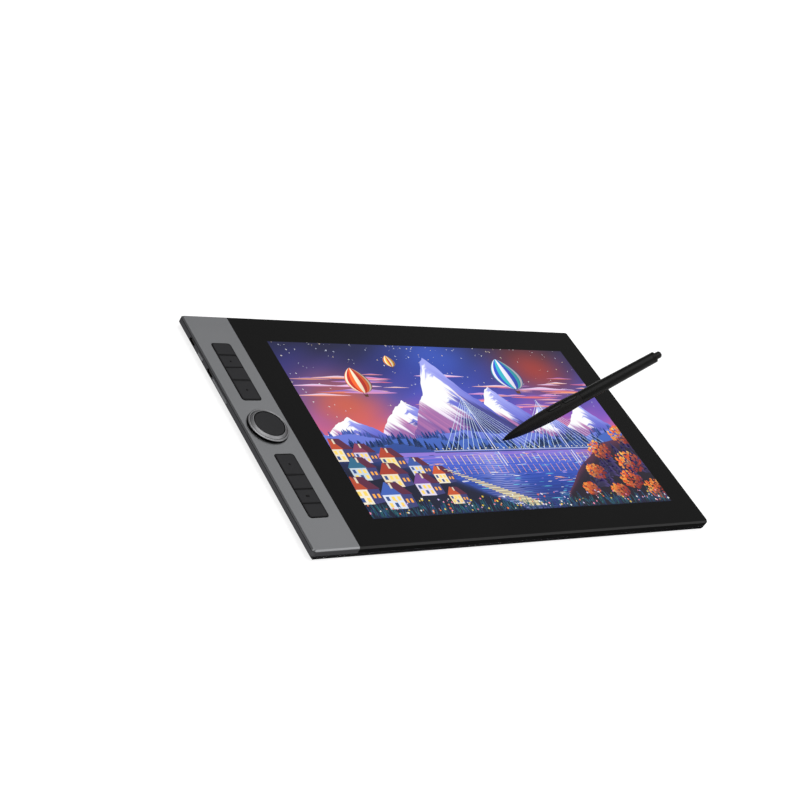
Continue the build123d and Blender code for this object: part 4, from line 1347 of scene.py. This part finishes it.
    def button(self, name: str) -> None:
        """A round-ended pad with upright sides whose top follows the grip: out = sqrt(radius^2 - across^2).

        Args:
            name: The button's node and body.
        """
        low, high = self.span(name)
        middle = (low + high) / 2
        half = ((high - low) / 2, self.button_width / 2)
        loop = RoundedLoop((-half[0], -half[1]), half, (half[1],) * 4, steps=10)
        profile = rim_profile(-self.button_depth, self.button_proud, self.button_rim)
        grid, faces = column(loop, profile, self.button_crown, rings=10)
        place = middle + grid[:, 0]
        radius = self.grip_curve(place) + grid[:, 2]
        bent = np.column_stack([np.sqrt(radius ** 2 - grid[:, 1] ** 2), grid[:, 1], place])
        piece = settle(write_piece(f"{name}_pad", self.placed(bent), faces))
        place_piece(piece, name, PEN_BUTTON, (name,))


def blended(values: Array, stops: Sequence[tuple[float, str]]) -> Array:
    """Colours along a ramp: each channel runs straight between the stops.

    Args:
        values: Places on the ramp, from 0 to 1.
        stops: Places and sRGB hex colours.

    Returns:
        sRGB shares, with a last axis of three.
    """
    places, codes = zip(*stops)
    table = hex_shares(codes)
    return np.stack([np.interp(values, places, table[:, channel]) for channel in range(3)], axis=-1)


def mixed(first: Array, second: Array, share: Array) -> Array:
    """Mixes two colours: first * (1 - share) + second * share.

    Args:
        first: sRGB shares.
        second: sRGB shares.
        share: How much of the second, with no axis for the channels.

    Returns:
        sRGB shares.
    """
    weight = share[..., None]
    return first * (1 - weight) + second * weight


def soft_step(values: Array, sharpness: float) -> Array:
    """A soft step at zero, 1 / (1 + exp(-sharpness * value)). A negative sharpness turns it round."""
    return 1 / (1 + np.exp(-sharpness * values))


@dataclass
class Patches:
    """Four-cornered patches of one colour each, gathered for one layer.

    Attributes:
        spots: Corners, four rows for each patch.
        colours: sRGB shares, one row for each corner.
        orders: A number for each corner. A patch with a higher one lies over the others.
    """

    spots: list[Array] = field(default_factory=list)
    colours: list[Array] = field(default_factory=list)
    orders: list[Array] = field(default_factory=list)

    def add(self, corners: Array, code: str, order: int) -> None:
        """Adds patches of one colour.

        Args:
            corners: Four places for each patch.
            code: Their colour, sRGB hex.
            order: Their number.
        """
        spots = np.reshape(corners, (-1, 2))
        self.spots.append(spots)
        self.colours.append(np.tile(hex_shares([code]), (len(spots), 1)))
        self.orders.append(np.full(len(spots), order))


@dataclass
class Picture:
    """A lakeside landscape at dusk, drawn as thin layers of coloured shapes on the lit area.

    Lengths are in millimetres from the front left corner, and places given as shares are multiplied
    by the picture's width or height.

    Attributes:
        margin: How far the backlight's sheets reach past the lit area.
        lift: Height of one layer over the last.
        step: Height of one shape over another that it overlaps in its layer.
        least_area: Area under which a shape that was cut off at the edge is left out.
        seed: Seed of all random draws.
        horizon: Height of the far shore, as a share.
        waterline: Height of the water's far edge, as a share.
        sky_counts: Points of the sky's grid.
        lake_counts: Points of the lake's grid.
        peak_counts: Points of a peak's grid.
        hill_counts: Points of a ridge's grid.
        bank_counts: Points of a bank's grid.
        lens_points: Points along a cloud.
        balloon_counts: Points of a balloon, round and up.
    """

    margin: float = 2.5
    lift: float = 0.003
    step: float = 0.0006
    least_area: float = 0.001
    seed: int = 11
    horizon: float = 0.36
    waterline: float = 0.34
    sky_counts: tuple[int, int] = (150, 90)
    lake_counts: tuple[int, int] = (150, 60)
    peak_counts: tuple[int, int] = (181, 91)
    hill_counts: tuple[int, int] = (200, 2)
    bank_counts: tuple[int, int] = (120, 8)
    lens_points: int = 17
    balloon_counts: tuple[int, int] = (37, 26)

    def __post_init__(self) -> None:
        """Measures the lit area and the glass."""
        low, high = box_mm("light_guide")
        self.low = low[:2] + self.margin
        self.size = high[:2] - low[:2] - 2 * self.margin
        self.level = box_mm("cover_glass")[1][2]
        self.random = np.random.default_rng(self.seed)
        self.draw = self.random.uniform

    def layer(self, name: str, spots: Array, faces: Array, colours: Array,
              order: Optional[Array] = None) -> None:
        """Writes one layer over the last, cut off at the lit area's edges.

        A face whose corners run clockwise, by half the sum of their cross products, is turned over,
        so that all of them look up.

        Args:
            name: The layer's name.
            spots: Places in the picture, in millimetres from its front left corner.
            faces: Corner numbers.
            colours: sRGB shares, one for each point or one for each corner of each face.
            order: A number for each point. A shape with a higher one lies over the others.
        """
        inside = np.clip(spots, 0, self.size)
        heights = self.level + self.lift + self.step * (np.zeros(len(spots)) if order is None else order)
        self.level = float(heights.max())
        corners = colours if colours.ndim == 3 else colours[faces]
        here = inside[faces]
        ahead = np.roll(here, -1, axis=1)
        area = (here[..., 0] * ahead[..., 1] - ahead[..., 0] * here[..., 1]).sum(axis=1) / 2
        under = area < 0
        faces = np.where(under[:, None], faces[:, ::-1], faces)
        corners = np.where(under[:, None, None], corners[:, ::-1], corners)
        kept = np.abs(area) > self.least_area
        used, places = np.unique(faces[kept], return_inverse=True)
        faces, corners = places.reshape(-1, faces.shape[1]), corners[kept]
        piece = write_piece(f"screen_{name}", np.column_stack([inside[used] + self.low, heights[used]]), faces)
        data = np.ones((faces.size, 4), np.float32)
        data[:, :3] = srgb_to_linear(np.clip(corners.reshape(-1, 3), 0, 1))
        attribute = piece.data.color_attributes.new(PICTURE.attribute, "FLOAT_COLOR", "CORNER")
        attribute.data.foreach_set("color", data.ravel())
        place_piece(piece, TABLET, PICTURE)

    def grid(self, name: str, x: Array, y: Array, colours: Array) -> None:
        """Writes a layer from a grid of places.

        Args:
            name: The layer's name.
            x: Places across, two axes.
            y: Places up, two axes.
            colours: sRGB shares with the same two axes.
        """
        rows, columns = x.shape
        spots = np.stack([x, y], axis=-1).reshape(-1, 2)
        self.layer(name, spots, sheet_faces(rows, columns), colours.reshape(-1, 3))

    def wander(self, x: Array, waves: int, roughness: float = 0.55) -> Array:
        """A jagged line: triangle waves whose pitch halves and whose height falls by roughness.

        Args:
            x: Places from 0 to 1.
            waves: How many waves are summed.
            roughness: Height of each wave against the last.

        Returns:
            Heights, about from -1 to 1.
        """
        total = np.zeros_like(x)
        for index in range(waves):
            phase = self.draw(0, 1)
            pitch = 2.0 ** index * self.draw(1.1, 1.6)
            total += roughness ** index * (2 * np.abs(2 * ((x * pitch + phase) % 1) - 1) - 1)
        return total / 2

    def stamps(self, name: str, shape: Array, faces: Array, centres: Array, sizes: Array,
               tone: Array, levels: int = 1, second: Optional[Array] = None,
               share: Sequence[float] = ()) -> None:
        """Repeats a small shape.

        Args:
            name: The layer's name.
            shape: Points of one shape, about its own origin.
            faces: Its faces.
            centres: Where each copy goes.
            sizes: Size of each copy, or its width and height.
            tone: Colour of each copy.
            levels: Heights that the copies take in turn, more where they overlap more.
            second: Second colour of each copy, if it has one.
            share: For each point of the shape, how much of the second colour it has.
        """
        spots = (centres[:, None] + shape[None] * sizes[:, None]).reshape(-1, 2)
        order = np.repeat(np.arange(len(centres)) % levels, len(shape))
        colours = np.repeat(tone, len(shape), axis=0)
        if second is not None:
            colours = mixed(tone[:, None], second[:, None], np.array(share, float)[None]).reshape(-1, 3)
        self.layer(name, spots, repeated_faces(faces, len(shape), len(centres)), colours, order)

    def patchwork(self, name: str, patches: Patches) -> None:
        """Writes a layer of patches."""
        spots = np.concatenate(patches.spots)
        self.layer(name, spots, np.arange(len(spots)).reshape(-1, 4), np.concatenate(patches.colours),
                   np.concatenate(patches.orders))

    def pick(self, codes: Sequence[str], count: int, spread: float = 0.04) -> Array:
        """Draws colours from a list, each a little lighter or darker.

        Args:
            codes: sRGB hex colours.
            count: How many are drawn.
            spread: How far the tone may change.

        Returns:
            sRGB shares, one row each.
        """
        chosen = hex_shares(codes)[self.random.integers(0, len(codes), count)]
        return np.clip(chosen + self.random.normal(0, spread, (count, 1)), 0, 1)

    def build(self) -> None:
        """Draws the layers from the sky to the near shore."""
        self.sky()
        self.stars()
        self.clouds()
        self.peaks()
        self.hills()
        self.lake()
        self.glints()
        self.bridge()
        self.shore()
        self.village()
        self.trees()
        self.balloons()
        self.meadow()

    def sky(self) -> None:
        """Sky: a ramp from the horizon up, with two warm glows, a cool one and streaks by slow waves."""
        width, height = self.size
        x, y = lattice((0, width), (0.3 * height, height), self.sky_counts)
        rise = (y / height - self.horizon) / (1 - self.horizon)
        wave = 0.03 * np.sin(x / 17 + 4 * rise) + 0.02 * np.sin(x / 7 - y / 5)
        colours = blended(rise + wave, [(0, "#ff9a58"), (0.12, "#f0657a"), (0.3, "#8f55c0"), (0.52, "#4349b4"),
                                        (0.75, "#242a7a"), (1, "#12163f")])
        for spot_x, spot_y, reach, code in ((0.12, 0.62, 46, "#e8622a"), (0.84, 0.86, 44, "#c43a20"),
                                            (0.5, 0.95, 50, "#3b62d8")):
            away = ((x - spot_x * width) ** 2 + 1.6 * (y - spot_y * height) ** 2) / reach ** 2
            colours = mixed(colours, hex_shares([code])[0], np.exp(-away) * 0.75)
        self.grid("sky", x, y, colours)

    def stars(self) -> None:
        """Stars: four-cornered sparks, thickest high up."""
        count = 190
        width, height = self.size
        spark = np.array([(0, 1), (-0.18, 0), (0, -1), (0.18, 0), (1, 0), (0, 0.18), (-1, 0), (0, -0.18)], float)
        faces = np.array([(0, 1, 2, 3), (4, 5, 6, 7)])
        rise = 1 - self.draw(0, 1, count) ** 1.6 * 0.45
        centres = np.column_stack([self.draw(0, width, count), rise * height])
        size = self.draw(0.35, 1.25, (count, 1))
        self.stamps("stars", spark, faces, centres, size, self.pick(("#ffffff", "#dfe4ff", "#ffe9c9"), count))

    def clouds(self) -> None:
        """Clouds: flat lenses with a lit underside, in three loose banks."""
        count = 62
        width, height = self.size
        across = np.linspace(-1, 1, self.lens_points)
        bulge = 1 - across ** 2
        top = np.column_stack([across, bulge * (1 + 0.25 * np.cos(5 * across))])
        foot = np.column_stack([across, -0.35 * bulge])
        lens = np.concatenate([foot, top])
        bank = self.random.integers(0, 3, count)
        bank_x = np.array([0.2, 0.55, 0.85])[bank] * width
        bank_y = np.array([0.74, 0.6, 0.7])[bank] * height
        centres = np.column_stack([bank_x + self.random.normal(0, 44, count),
                                   bank_y + self.random.normal(0, 9, count)])
        long = self.draw(9, 34, count)
        sizes = np.column_stack([long, long * self.draw(0.05, 0.1, count)])
        lit = self.pick(("#ffb070", "#ff7c66", "#f2a0c8", "#ff8a3c"), count)
        shaded = self.pick(("#7a5cc8", "#5a55b8", "#b98fe0", "#e9dcff"), count)
        self.stamps("clouds", lens, sheet_faces(2, len(across)), centres, sizes, lit, 16, shaded,
                    np.repeat([0, 1], len(across)))

    def peaks(self) -> None:
        """Snow peaks: each face of the grid is lit or shaded by its side of a wandering ridge."""
        width, height = self.size
        foot = self.horizon * height
        for index, (middle, reach, top) in enumerate(((0.3, 62, 0.66), (0.9, 58, 0.62), (0.62, 70, 0.72),
                                                      (0.46, 78, 0.9), (0.1, 54, 0.56), (0.75, 50, 0.6))):
            s, t = lattice((-1, 1), (0, 1), self.peak_counts)
            crest = (1 - np.abs(s)) ** 1.05 + 0.1 * self.wander((s + 1) / 2, 5, 0.6) * (1 - np.abs(s)) ** 0.5
            crest = np.maximum(crest, 0)
            x = middle * width + s * reach
            y = foot + t * crest * (top * height - foot)
            ridge = 0.16 * self.wander(t, 4, 0.7) + 0.1 * (1 - t)
            spurs = 0.1 * self.wander(t * 2.2 + 0.3 * s, 5, 0.8)
            lit = soft_step(s - ridge - spurs, -90)
            rib = 0.5 + 0.5 * self.wander((x + 0.8 * y) / width * 4, 6, 0.8)
            level = (y - foot) / (top * height - foot)
            snow = soft_step(level - 0.22 - 0.4 * rib, 45)
            shade = blended(np.clip(level + 0.2 * rib, 0, 1), [(0, "#3b3f93"), (0.5, "#6468d0"), (1, "#a4aaf6")])
            bright = blended(np.clip(level + 0.25 * rib, 0, 1),
                             [(0, "#d39be6"), (0.3, "#f0dcfa"), (0.55, "#ffffff"), (1, "#ffffff")])
            rock = blended(rib, [(0, "#232860"), (1, "#4a4a9c")])
            warm = blended(rib, [(0, "#6a4a9a"), (1, "#c07ab0")])
            colours = mixed(mixed(rock, shade, snow), mixed(warm, bright, snow), lit)
            self.grid(f"peak_{index + 1}", x, y, colours)

    def hills(self) -> None:
        """Three wooded ridges, each a band under a wandering line with firs along it."""
        count = 110
        width, height = self.size
        for index, (level, swing, tones, firs) in enumerate((
                (0.44, 0.05, ("#3a54b0", "#6a7ad8"), ("#2f4796", "#5f74cc")),
                (0.4, 0.06, ("#1f3a86", "#4166c0"), ("#18306c", "#3a5cb0")),
                (0.36, 0.05, ("#12235a", "#2a4c9a"), ("#0d1c46", "#24508c")))):
            x, t = lattice((0, width), (0, 1), self.hill_counts)
            line = level * height + swing * height * self.wander(x / width * 1.4, 4, 0.5)
            self.grid(f"hill_{index + 1}", x, t * line, blended(t, [(0, tones[0]), (1, tones[1])]))
            spots = self.draw(0, width, count)
            base = np.interp(spots, x[:, 0], line[:, 0]) - 0.6
            tall = self.draw(3.5, 7.0, count) * (1 + 0.35 * index)
            self.firs(f"firs_{index + 1}", np.column_stack([spots, base]), tall, firs)

    def firs(self, name: str, centres: Array, tall: Array, codes: Sequence[str]) -> None:
        """Fir trees: four stacked tiers, the right half of each lighter.

        Args:
            name: The layer's name.
            centres: Feet of the trees.
            tall: Heights.
            codes: Dark and light colour.
        """
        tiers = [(0.0, 0.42, 0.3), (0.2, 0.62, 0.25), (0.42, 0.82, 0.19), (0.62, 1.0, 0.13)]
        shape = np.array([spot for foot, top, half in tiers
                          for spot in ((-half, foot), (0, foot + 0.05), (0, top), (half, foot))])
        faces = repeated_faces(np.array([(0, 1, 2), (1, 3, 2)]), 4, len(tiers))
        dark, light = self.pick(codes[:1], len(tall)), self.pick(codes[1:], len(tall))
        order = np.argsort(centres[:, 0])
        self.stamps(name, shape, faces, centres[order], tall[order, None], dark, 8, light,
                    np.tile([0.0, 0.15, 0.5, 1.0], len(tiers)))

    def lake(self) -> None:
        """Lake: the sky's ramp turned over, cooler and darker towards the near shore."""
        width, height = self.size
        far = self.waterline * height
        x, y = lattice((0, width), (0, far), self.lake_counts)
        depth = 1 - y / far
        ripple = 0.05 * np.sin(y * 1.9 + 0.6 * np.sin(x / 9)) + 0.03 * np.sin(y * 4.3 + x / 21)
        colours = blended(depth + ripple, [(0, "#9a7ad8"), (0.2, "#4a62d0"), (0.5, "#2346a8"), (1, "#101f5e")])
        for middle, reach, code in ((0.46, 26, "#d9d0ff"), (0.13, 24, "#ff8240"), (0.84, 22, "#e05a34")):
            lane = np.exp(-((x - middle * width) / (reach * (0.6 + 0.7 * depth))) ** 2)
            broken = np.clip(0.5 + 1.2 * np.sin(y * 2.6 + 1.5 * np.sin(x / 6)), 0, 1)
            colours = mixed(colours, hex_shares([code])[0], lane * broken * 0.6)
        self.grid("lake", x, y, colours)

    def glints(self) -> None:
        """Glints on the water: flat lenses, longer towards the near shore."""
        count = 420
        width, height = self.size
        across = np.linspace(-1, 1, 7)
        lens = np.concatenate([np.column_stack([across, -(1 - across ** 2)]),
                               np.column_stack([across, 1 - across ** 2])])
        rise = self.draw(0.03, 0.33, count)
        spots = np.column_stack([self.draw(0, width, count), rise * height])
        long = self.draw(1.0, 6.5, count) * (1.5 - 2.4 * rise)
        tone = self.pick(("#ffffff", "#8fd0ff", "#bba4f4", "#63c8e8", "#ffb27a", "#16286e", "#3557c4"), count)
        sizes = np.column_stack([long, self.draw(0.12, 0.38, count)])
        self.stamps("glints", lens, sheet_faces(2, len(across)), spots, sizes, tone, 4)

    def bridge(self) -> None:
        """Cable bridge: a deck, two towers, fans of straight cables, lamps and their light on the water.

        Each cable is a thin quad from a tower's top to a point of the deck.
        """
        width, height = self.size
        deck = 0.345 * height
        patches = Patches()
        feet = np.linspace(11, 56, 8)
        half_cable = np.array([0.24, 0.0])
        for middle, top in ((0.5, 0.66), (0.76, 0.64)):
            x = middle * width
            start = np.array([x, top * height])
            for side in (-1, 1):
                ends = np.column_stack([x + side * feet, np.full(len(feet), deck)])
                heads = start - np.column_stack([0 * feet, (feet[-1] - feet) * 0.32])
                patches.add(np.stack([heads - half_cable, heads + half_cable, ends + half_cable,
                                      ends - half_cable], axis=1), "#d8efff", 0)
            for leg, code, order in ((-2.2, "#8fa4e8", 1), (1.2, "#e9ecff", 2)):
                patches.add(np.array([(x + leg, 0.25 * height), (x + leg + 1.1, 0.25 * height),
                                      (x + leg * 0.5 + 0.6, top * height + 3),
                                      (x + leg * 0.5, top * height + 3)]), code, order)
        left, right = 0.3 * width, 0.99 * width
        for low, high, code in ((-1.6, -0.7, "#26306e"), (-0.7, 0.5, "#5d6fc8"), (0.5, 0.85, "#f4f6ff")):
            patches.add(np.array([(left, deck + low), (right, deck + low), (right, deck + high),
                                  (left, deck + high)]), code, 3)
        lamps = np.linspace(left + 4, right - 4, 34)
        for half, low, high, code, order in ((0.12, 0.85, 2.6, "#aab8f0", 4), (0.55, 2.3, 3.3, "#fff2c4", 5),
                                             (0.3, -15.0, -5.0, "#ffe3a0", 4),
                                             (0.22, -26.0, -17.0, "#ffb878", 4)):
            patches.add(np.stack([np.column_stack([lamps + side * half, 0 * lamps + deck + level])
                                  for side, level in ((-1, low), (1, low), (1, high), (-1, high))], axis=1),
                        code, order)
        self.patchwork("bridge", patches)

    def shore(self) -> None:
        """Near shores: two dark banks that fall from the sides to the middle."""
        width, height = self.size
        for name, stops, tones in (
                ("left_bank", ((0, 0.34), (0.16, 0.3), (0.3, 0.2), (0.42, 0.06), (0.5, -0.02)),
                 ("#0b1230", "#27408a")),
                ("right_bank", ((0.6, -0.02), (0.66, 0.09), (0.76, 0.24), (0.88, 0.36), (1, 0.42)),
                 ("#160b22", "#5a2a4a"))):
            places = np.array(stops)
            share, t = lattice((places[0, 0], places[-1, 0]), (0, 1), self.bank_counts)
            x = share * width
            line = np.interp(x / width, places[:, 0], places[:, 1]) * height
            line = np.maximum(line + 1.6 * self.wander(x / width * 3, 4), 0)
            self.grid(name, x, t * line, blended(t, [(0, tones[0]), (0.8, tones[0]), (1, tones[1])]))

    def village(self) -> None:
        """Lakeside houses: a wall, a side wall, a roof and lit windows, and a boardwalk of planks."""
        patches = Patches()
        quad = np.array([(0, 0), (1, 0), (1, 1), (0, 1)], float)
        # Place, width, wall and roof of each house, the nearer ones later
        houses = ((-6, 58, 26, "#efe6d0", "#c24a2c"), (19, 56, 22, "#d8cfe8", "#8a3a5a"),
                  (42, 49, 24, "#f2e2b8", "#b5432a"), (66, 41, 21, "#cfd6ee", "#3a5aa8"),
                  (86, 32, 20, "#f4ead2", "#d0582c"), (6, 38, 26, "#c8d8e4", "#2d6a8a"),
                  (33, 30, 27, "#efe0c4", "#a83a28"), (61, 20, 25, "#e4dcf2", "#7a4a9a"),
                  (-8, 14, 30, "#f6ecd6", "#b8482a"), (22, 8, 29, "#dfe6f6", "#3f62b8"),
                  (88, 10, 19, "#f2dfb4", "#c8542c"))
        side = np.array([(0.62, 0), (1, 0.06), (1, 0.52), (0.62, 0.5)])
        gable = np.array([(-0.05, 0.5), (0.67, 0.5), (0.33, 0.95), (0.29, 0.95)])
        slope = np.array([(0.67, 0.5), (1.05, 0.5), (0.72, 0.93), (0.33, 0.95)])
        for number, (x, y, size, wall, roof) in enumerate(houses):
            over = 2 * number
            base = np.array([x, y], float)
            patches.add(base + quad * (size * 0.62, size * 0.5), wall, over)
            for part, code in ((side, "#3c3f78"), (gable, roof), (slope, "#5c2440")):
                patches.add(base + part * size, code, over)
            for step in range(6):
                pane = base + (size * (0.07 + 0.19 * (step % 3)), size * (0.07 + 0.22 * (step // 3)))
                code = "#ffdc6e" if step not in (1, 3) else "#33508c"
                patches.add(pane + quad * (size * 0.11, size * 0.15), code, over + 1)
            for step in range(2):
                pane = base + (size * (0.7 + 0.15 * step), size * 0.2)
                patches.add(pane + quad * (size * 0.08, size * 0.14), "#ffb04a", over + 1)
            patches.add(base + (np.array([0.42, 0.72]) + quad * (0.07, 0.2)) * size, "#e8d8c0", over + 1)
        planks = 26
        for index in range(planks):
            near = index / planks
            start = np.array([100 + 70 * near, 46 - 44 * near])
            wide, deep = 5 + 16 * near, 0.9 + 1.2 * near
            plank = np.array([(0, 0), (wide, 0.25 * deep), (wide, 1.1 * deep), (0, 0.85 * deep)])
            patches.add(start + plank, "#e9dcae" if index % 2 else "#c9b98e", 2 * len(houses) + index % 3)
        self.patchwork("village", patches)

    def trees(self) -> None:
        """Autumn trees on the right bank: many six-sided leaves in round crowns, over firs."""
        width, height = self.size
        count = 34
        spots = np.column_stack([self.draw(0.74, 1.0, count) * width, np.zeros(count)])
        spots[:, 1] = (0.1 + (spots[:, 0] / width - 0.7) * 0.8) * height * self.draw(0.5, 1.05, count)
        self.firs("shore_firs", spots, self.draw(14, 26, count), ("#1a1638", "#4a3a7a"))
        turn = np.linspace(0, math.tau, 7)[:-1]
        leaf = np.column_stack([np.cos(turn), np.sin(turn)])
        faces = np.array([(0, 1, 2, 3), (3, 4, 5, 0)])
        # Middle, as shares of the picture, and radius of each crown
        crowns = np.array([(0.8, 0.2, 11), (0.87, 0.33, 14), (0.95, 0.25, 16), (0.99, 0.42, 15),
                           (0.91, 0.14, 13), (0.74, 0.1, 9), (0.84, 0.08, 10), (0.98, 0.08, 14)])
        leaves_each = 150
        which = np.repeat(np.arange(len(crowns)), leaves_each)
        away = np.sqrt(self.draw(0, 1, len(which))) * crowns[which, 2]
        angle = self.draw(0, math.tau, len(which))
        offset = np.column_stack([np.cos(angle) * away, np.sin(angle) * away * 0.8])
        centres = crowns[which, :2] * self.size + offset
        order = np.argsort(-offset[:, 1] - 0.3 * offset[:, 0], kind="stable")
        size = self.draw(0.6, 1.7, (len(which), 1))
        dark = self.pick(("#7c1f1c", "#9c2c18", "#5a1a3a"), len(which))
        light = self.pick(("#ff7a2a", "#ff9d3c", "#e8501e", "#ffc45a"), len(which))
        tone = mixed(dark, light, np.clip(0.5 + (offset[:, 1] - offset[:, 0]) / 24, 0, 1))
        self.stamps("leaves", leaf, faces, centres[order], size[order], tone[order], 16)

    def balloons(self) -> None:
        """Hot-air balloons: gores spaced as the sine of their turn, over a small basket."""
        turn, rise = lattice((-QUARTER, QUARTER), (0, 1), self.balloon_counts)
        girth = np.sin(math.pi * rise ** 0.78) ** 0.72
        envelope = np.stack([girth * np.sin(turn), 2.3 * rise - 1.3], axis=-1).reshape(-1, 2)
        faces = sheet_faces(*self.balloon_counts)
        gore = (faces[:, 0] // self.balloon_counts[1]) // 4
        light = (0.72 + 0.4 * np.cos(turn + 0.6) * (0.6 + 0.4 * rise)).reshape(-1)[faces][..., None]
        basket = np.array([(-0.13, -1.62), (0.13, -1.62), (0.16, -1.42), (-0.16, -1.42),
                           (-0.16, -1.42), (-0.13, -1.42), (-0.1, -1.2), (-0.13, -1.2),
                           (0.13, -1.42), (0.16, -1.42), (0.13, -1.2), (0.1, -1.2)])
        spots, corners, baskets = [], [], Patches()
        for x, y, radius, codes in ((0.2, 0.78, 13, ("#ff6a2a", "#fff0d0", "#c92c1c")),
                                    (0.72, 0.84, 17, ("#2fb6c8", "#f4f0ff", "#2a4ec8")),
                                    (0.34, 0.9, 6, ("#f8c83c", "#d8442a", "#fff0d0"))):
            spots.append(envelope * radius + self.size * (x, y))
            corners.append(hex_shares(codes)[gore % 3][:, None] * light)
            baskets.add(basket * radius + self.size * (x, y), "#5a3420", 0)
        self.layer("balloons", np.concatenate(spots), repeated_faces(faces, len(envelope), len(spots)),
                   np.concatenate(corners))
        self.patchwork("baskets", baskets)

    def meadow(self) -> None:
        """Near meadow: blades of grass and small flowers along the front edge."""
        width = self.size[0]
        count = 520
        blade = np.array([(-0.5, 0), (0.5, 0), (1.6, 1)], float)
        feet = np.column_stack([self.draw(0, width, count), self.draw(-4, 5, count)])
        lean = self.random.choice([-1.0, 1.0], count)
        sizes = np.column_stack([lean * self.draw(0.5, 1.3, count), self.draw(4, 15, count)])
        dark = self.pick(("#0a1c33", "#0f2a4a", "#101a3c"), count, 0.01)
        light = self.pick(("#2f7a86", "#3aa0a0", "#2a5cae"), count)
        self.stamps("grass", blade, np.array([(0, 1, 2)]), feet, sizes, dark, 8, light, (0, 0, 1))
        count = 150
        turn = np.linspace(0, math.tau, 11)[:-1]
        reach = np.where(np.arange(len(turn)) % 2, 1.0, 0.45)
        flower = np.column_stack([reach * np.cos(turn), reach * np.sin(turn)])
        faces = np.array([(0, 1, 2, 3), (3, 4, 5, 0), (0, 5, 6, 7), (7, 8, 9, 0)])
        spots = np.column_stack([self.draw(0, width, count), self.draw(2, 17, count)])
        size = self.draw(0.6, 1.5, (count, 1))
        tone = self.pick(("#ffffff", "#ffd84a", "#ff8fb0", "#d9c8ff", "#ff7a3a"), count)
        self.stamps("flowers", flower, faces, spots, size, tone, 3)


@dataclass
class Studio:
    """Floor, soft light and the camera at the photograph's angle.

    Attributes:
        camera_mm: Where the camera stands.
        target_mm: The point of the glass in the middle of the view.
        roll_degrees: Turn about the line of sight.
        lens_mm: Focal length on a film as wide as film_mm.
        film_mm: Width of the film.
        floor_mm: Side of the floor.
        floor_level_mm: Height of the floor, just under the feet.
        floor_points: Points along each side of the floor.
        sky_strength: How strongly the sky lights the object.
        lamps: Name, strength, softness in degrees and direction of each lamp.
    """

    camera_mm: tuple[float, float, float] = (-870.95, -659.09, 693.68)
    target_mm: tuple[float, float, float] = (-49.55, 28.33, 11.0)
    roll_degrees: float = 32.94
    lens_mm: float = 69.016
    film_mm: float = 36.0
    floor_mm: float = 60000.0
    floor_level_mm: float = -0.05
    floor_points: int = 9
    sky_strength: float = 0.22
    lamps: tuple[tuple[str, float, float, tuple[float, float, float]], ...] = (
        ("overhead_softbox", 1.8, 60.0, (-0.14, 0.0, 1.0)), ("front_softbox", 0.78, 46.0, (0.6, -0.66, 0.45)),
        ("back_softbox", 0.23, 32.0, (0.62, 0.5, 0.62)))

    def build(self) -> None:
        """Makes the floor, the lights and the camera."""
        self.floor()
        self.lights()
        self.camera()
        bpy.context.scene.view_settings.view_transform = "Standard"

    def floor(self) -> None:
        """A wide pale floor just under the object's feet."""
        side = (-self.floor_mm / 2, self.floor_mm / 2)
        counts = (self.floor_points, self.floor_points)
        x, y = lattice(side, side, counts)
        points = np.stack([x, y, np.full_like(x, self.floor_level_mm)], axis=-1).reshape(-1, 3)
        floor = write_piece("floor", points, sheet_faces(*counts)[:, ::-1])
        floor.data.materials.append(LIGHT_TABLE.material())

    def lights(self) -> None:
        """An even pale sky, one broad soft light overhead and two weaker ones from the right."""
        world = bpy.data.worlds.new("soft_studio")
        world.use_nodes = True
        tree = world.node_tree
        tree.nodes.clear()
        # The backdrop looks white, and lights the object only as much as sky_strength says
        seen = add_node(tree, "ShaderNodeLightPath").outputs["Is Camera Ray"]
        shine = add_node(tree, "ShaderNodeMix", {"data_type": "FLOAT", 2: self.sky_strength, 3: 1.0},
                         {0: seen})
        sky = add_node(tree, "ShaderNodeBackground", {"Color": WHITE}, {"Strength": shine.outputs[0]})
        add_node(tree, "ShaderNodeOutputWorld", None, {"Surface": sky.outputs[0]})
        bpy.context.scene.world = world
        for name, strength, softness, toward in self.lamps:
            lamp = bpy.data.lights.new(name, "SUN")
            lamp.energy = strength
            lamp.angle = math.radians(softness)
            made = bpy.data.objects.new(name, lamp)
            made.rotation_euler = Vector(toward).to_track_quat("Z", "Y").to_euler()
            bpy.context.scene.collection.objects.link(made)

    def camera(self) -> None:
        """Stands the camera, turns it to its target and rolls it about its line of sight."""
        place, target = (Vector(spot) * MM for spot in (self.camera_mm, self.target_mm))
        ahead = (target - place).normalized()
        right = ahead.cross(Vector((0, 0, 1))).normalized()
        level_up = right.cross(ahead)
        roll = math.radians(self.roll_degrees)
        up = level_up * math.cos(roll) - right * math.sin(roll)
        side = ahead.cross(up)
        turn = Matrix((side, up, -ahead)).transposed().to_4x4()
        data = bpy.data.cameras.new("photo_camera")
        data.sensor_width = self.film_mm
        data.lens = self.lens_mm
        data.clip_start, data.clip_end = 0.01, 200.0
        camera = bpy.data.objects.new("photo_camera", data)
        camera.matrix_world = Matrix.Translation(place) @ turn
        bpy.context.scene.collection.objects.link(camera)
        bpy.context.scene.camera = camera


def main() -> None:
    """Loads the frame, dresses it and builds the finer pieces."""
    logging.basicConfig(level=logging.INFO, format="%(message)s")
    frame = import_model()
    CarriedNodes(frame).dress()
    KeyBlocks().build()
    Dial().build()
    SidePanel().build()
    Feet().build()
    Pen(frame).build()
    Picture().build()
    Studio().build()


if __name__ == "__main__":
    main()
